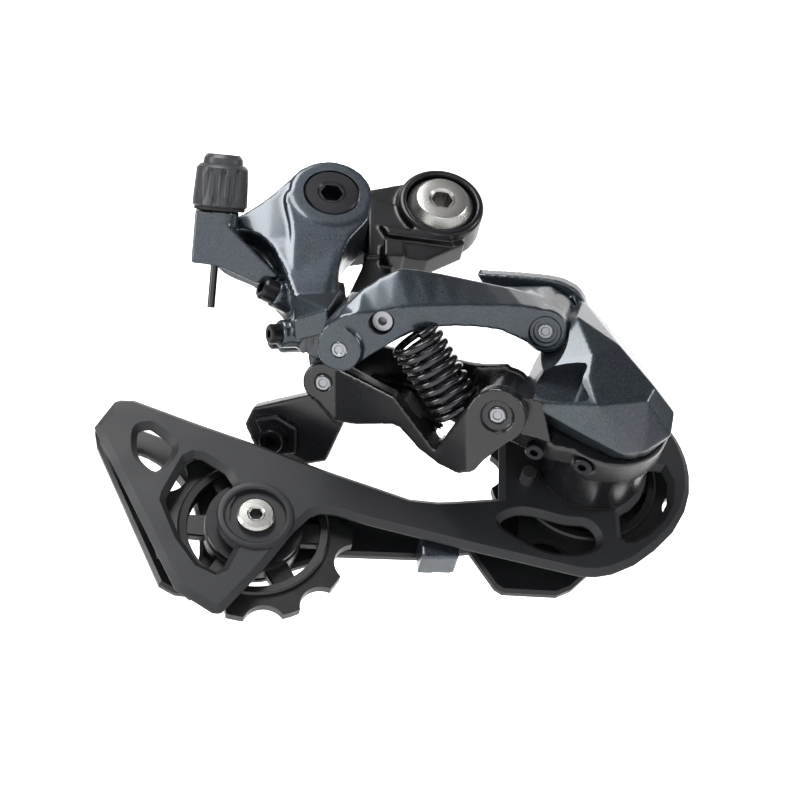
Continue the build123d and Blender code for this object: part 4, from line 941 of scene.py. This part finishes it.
class DERAILLEUR_OT_cage(bpy.types.Operator):
    """The two cage plates, with chamfered edges and windows"""
    bl_idname = "derailleur.cage"
    bl_label = "Cage plates"

    def execute(self, context):
        x, z = PIVOT
        edge = [(-84.2, -70.5), (-79.9, -62.6), (-78.6, -61.9), (-75.1, -61.7), (-59.8, -66.9),
                (-44.6, -71.7), (-28.4, -77.4), (-6.7, -84.1), (0.0, -84.3), (3.5, -83.9), (x - 23.0, -82.0)]
        edge += arc(x, z, 26.0, 155, 0)[1:]
        edge += [(64.0, -76.0), (62.4, -81.5), (59.0, -87.6), (54.0, -93.2), (48.6, -97.8), (42.8, -100.9),
                 (38.6, -102.0), (34.7, -102.1), (10.2, -97.6), (-16.8, -92.2), (-24.9, -90.1),
                 (-28.6, -90.1), (-31.0, -91.4), (-34.9, -96.0), (-41.6, -106.6), (-50.8, -118.8),
                 (-51.6, -119.1), (-53.0, -119.1), (-62.0, -113.6)]
        window_a = curve_through([(-73.6, -71.4), (-71.5, -69.9), (-69.6, -70.4), (-65.0, -74.8),
                                  (-67.2, -80.4), (-69.4, -81.6), (-73.0, -77.8)], 4)
        window_b = [(-61.4, -78.4), (-59.6, -77.2), (-57.6, -77.4), (-52.0, -80.8), (-49.9, -84.0),
                    (-49.9, -86.2), (-51.7, -90.3), (-51.9, -95.2), (-49.0, -100.6), (-49.0, -101.8),
                    (-51.2, -107.4), (-52.8, -108.3), (-56.8, -106.5), (-61.6, -99.9), (-65.7, -90.3),
                    (-65.5, -88.6)]
        window_c = curve_through([(15.6, -88.9), (21.2, -86.0), (31.4, -87.8), (36.6, -88.0), (39.0, -90.4),
                                  (39.2, -93.2), (37.0, -95.0), (32.8, -96.2), (26.4, -95.8),
                                  (19.0, -92.1)], 4)
        window_d = [(45.6, -90.4), (45.6, -84.2), (48.6, -82.0), (51.2, -78.6), (52.8, -74.6), (53.6, -70.2),
                    (57.2, -70.2), (58.6, -73.8), (58.0, -79.6), (55.6, -84.4), (52.0, -88.6), (48.4, -91.0),
                    (46.6, -91.2)]
        axle = arc(x, z, 4.5, 0, 352, 44)
        seat = arc(TENSION[0], TENSION[1], 7.3, 0, 352, 44)
        plate = chamfered_plate("outer_cage_plate_body",
                                [edge, window_a, window_b, window_c, window_d, axle, seat], -6.0, -2.5, 1.5)
        tx, tz = TENSION
        boss = turned("boss", (tx, 0, tz), OUT, [
            (-6.0, 2.55), (-6.0, 7.6), (-2.6, 9.4), (-1.9, 9.1), (-1.8, 8.8), (-1.8, 7.9), (-2.1, 7.4),
            (-3.2, 7.2), (-3.2, 2.55)])
        settle(join("outer_cage_plate_body", [plate, boss]), "outer_cage_plate")
        edge = [(-84.3, -64.5), (-81.8, -63.0), (-79.5, -62.3), (-75.5, -62.1), (-48.0, -71.6),
                (-30.0, -80.1), (-6.0, -84.6), (8.0, -83.1), (x - 17.8, z - 3.0)]
        edge += arc(x, z, 18.5, 176, -44)[1:]
        edge += [(47.6, -88.0), (41.3, -93.4), (35.1, -99.8), (31.3, -101.8), (17.9, -102.1), (15.9, -100.9),
                 (9.8, -91.4), (-2.4, -94.0), (-23.0, -94.9), (-38.0, -101.5), (-57.3, -108.9),
                 (-62.0, -108.6), (-65.7, -106.6), (-83.4, -68.9)]
        slot = curve_through([(-74.6, -71.8), (-66.2, -73.4), (-58.6, -84.0), (-56.6, -99.0),
                              (-61.6, -100.6)], 5)
        holes = [arc(tx, tz, 2.5, 0, 345, 23), arc(x, z, 2.5, 0, 345, 23)]
        plate = chamfered_plate("inner_cage_plate_body", [edge, slot] + holes, -17.0, -14.0, 0.8)
        settle(plate, "inner_cage_plate")
        return {"FINISHED"}


class DERAILLEUR_OT_bolts(bpy.types.Operator):
    """Hanger bolt, upper pivot bolt and the pulleys' bolts"""
    bl_idname = "derailleur.bolts"
    bl_label = "Bolts"

    def execute(self, context):
        colours = context.scene.derailleur_colours
        steel = linear(colours.steel)
        # hanger bolt: flat bright face inside a wide chamfer, hexagon socket
        rings = [(-9.4, 4.1), (-8.5, 5.0), (6.4, 5.0), (6.4, 8.7), (8.0, 8.75), (10.5, 6.9), (10.75, 6.6),
                 (10.8, 6.4), (10.8, 3.5), (10.2, 2.9)]
        turning = turned_steel("turned stainless steel", steel, (0, 0, 0), OUT, 0.3)
        bolt = turned("hanger_bolt_head", (0, 0, 0), OUT, rings, 96)
        settle(socketed(bolt, Vector(), OUT, 10.8, 5.0, 6.0), "hanger_bolt", material=turning)
        rings = [(0.4, 4.0), (5.6, 4.0), (5.6, 4.5), (17.6, 4.5), (17.6, 6.9), (19.4, 6.9), (19.7, 6.6),
                 (19.7, 3.7), (19.3, 3.2)]
        bolt = turned("upper_pivot_bolt", UPPER_AXLE, OUT, rings, 96)
        settle(socketed(bolt, Vector(UPPER_AXLE), OUT, 19.7, 5.0, 4.0), "b_axle_bolt")
        centre = Vector((TENSION[0], 0, TENSION[1]))
        rings = [(-17.0, 2.45), (-3.2, 2.45), (-3.2, 4.5), (-1.85, 4.55), (-1.35, 4.0), (-1.3, 2.2),
                 (-1.6, 1.85)]
        turning = turned_steel("turned stainless pulley bolt", steel, centre * MM, OUT, 0.28)
        bolt = turned("tension_bolt_head", centre, OUT, rings)
        settle(socketed(bolt, centre, OUT, -1.3, 3.0, 2.4), "tension_bolt", material=turning)
        centre = Vector((PIVOT[0], 0, PIVOT[1]))
        rings = [(-2.0, 2.45), (17.0, 2.45), (17.0, 4.5), (18.4, 4.55), (18.9, 4.0), (18.9, 2.2),
                 (18.6, 1.85)]
        bolt = turned("guide_bolt_head", centre, (0, 1, 0), rings)
        settle(socketed(bolt, centre, Vector((0, 1, 0)), 18.9, 3.0, 2.4), "guide_bolt")
        for node, u, v, low, face in (("outer_link_pin_upper", 0.0, 0.0, -29.4, 0.0),
                                      ("inner_link_pin_upper", -8.55, -14.43, -37.4, -17.6),
                                      ("outer_link_pin_lower", 46.4, 0.0, -41.2, -20.6),
                                      ("inner_link_pin_lower", 37.85, -14.43, -18.8, 0.8)):
            # headed pin, staked over at three places round a punched middle
            centre = link_point(u, v, 0)
            rings = [(low, 1.6), (low + 0.4, 2.0), (face - 0.25, 2.0), (face + 0.05, 1.7),
                     (face + 0.05, 1.15), (face - 0.2, 0.95)]
            pin = turned(node + "_head", centre, PIN, rings, 48)
            side_way = ALONG.cross(PIN).normalized()
            for turn in (0.4, 2.5, 4.6):
                where = centre + (ALONG * cos(turn) + side_way * sin(turn)) * 1.95
                cut(pin, [rod(where, PIN, 0.42, face - 0.35, face + 1.0, 10)])
            sharpen(pin.data, HEAD_CREASE)
            settle(pin, node)
        return {"FINISHED"}


class DERAILLEUR_OT_return_spring(bpy.types.Operator):
    """The link return spring, hooked on the spring post and the lower inner pin"""
    bl_idname = "derailleur.return_spring"
    bl_label = "Return spring"

    def execute(self, context):
        sizes = context.scene.derailleur_sizes
        start = link_point(16.2, 1.2, -9.5)
        end = link_point(26.4, -16.6, -9.5)
        run = end - start
        piece = object_from("return_spring_wire", bpy.data.meshes.new("return_spring_wire"))
        run_tree(piece, TREES["coil"], {"Radius": sizes.spring_radius, "Wire radius": sizes.spring_wire / 2,
                                      "Height": run.length * MM, "Turns": sizes.spring_turns,
                                      "Finish": PALETTE["spring_steel"]})
        put(piece, start, run)
        piece.data.materials.clear()
        piece.data.materials.append(PALETTE["spring_steel"])
        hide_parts("return_spring")
        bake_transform(piece)
        return {"FINISHED"}


class DERAILLEUR_OT_finishes(bpy.types.Operator):
    """Finishes of the CAD pieces whose shape stands as it is"""
    bl_idname = "derailleur.finishes"
    bl_label = "Finishes"

    def execute(self, context):
        for name, node in frame["nodes"].items():
            if not node.hide_render:
                for index in range(max(1, len(node.material_slots))):
                    if node.material_slots:
                        node.material_slots[index].material = PALETTE[slot_of(name)]
        return {"FINISHED"}


class DERAILLEUR_PT_panel(bpy.types.Panel):
    """Lists the derailleur's pieces"""
    bl_idname = "DERAILLEUR_PT_panel"
    bl_label = "Derailleur"
    bl_space_type = "VIEW_3D"
    bl_region_type = "UI"
    bl_category = "Derailleur"

    def draw(self, context):
        for name in MAKING_ORDER:
            self.layout.operator("derailleur." + name)


MAKING_ORDER = ("stage", "forgings", "upper_knuckle", "outer_link", "cover", "knob", "pulleys", "cage",
                "bolts", "return_spring", "finishes")
CLASSES = (DERAILLEUR_PG_sizes, DERAILLEUR_PG_colours, DERAILLEUR_OT_stage, DERAILLEUR_OT_forgings,
           DERAILLEUR_OT_upper_knuckle, DERAILLEUR_OT_outer_link, DERAILLEUR_OT_cover, DERAILLEUR_OT_knob,
           DERAILLEUR_OT_pulleys, DERAILLEUR_OT_cage, DERAILLEUR_OT_bolts, DERAILLEUR_OT_return_spring,
           DERAILLEUR_OT_finishes, DERAILLEUR_PT_panel)


def register():
    for item in CLASSES:
        bpy.utils.register_class(item)
    bpy.types.Scene.derailleur_sizes = PointerProperty(type=DERAILLEUR_PG_sizes)
    bpy.types.Scene.derailleur_colours = PointerProperty(type=DERAILLEUR_PG_colours)


def unregister():
    del bpy.types.Scene.derailleur_colours
    del bpy.types.Scene.derailleur_sizes
    for item in reversed(CLASSES):
        bpy.utils.unregister_class(item)


def main():
    register()
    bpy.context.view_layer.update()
    fill_palette(bpy.context.scene.derailleur_colours)
    TREES["coil"] = coil_tree()
    TREES["around"] = around_tree()
    for name in MAKING_ORDER:
        getattr(bpy.ops.derailleur, name)()


if __name__ == "__main__":
    main()
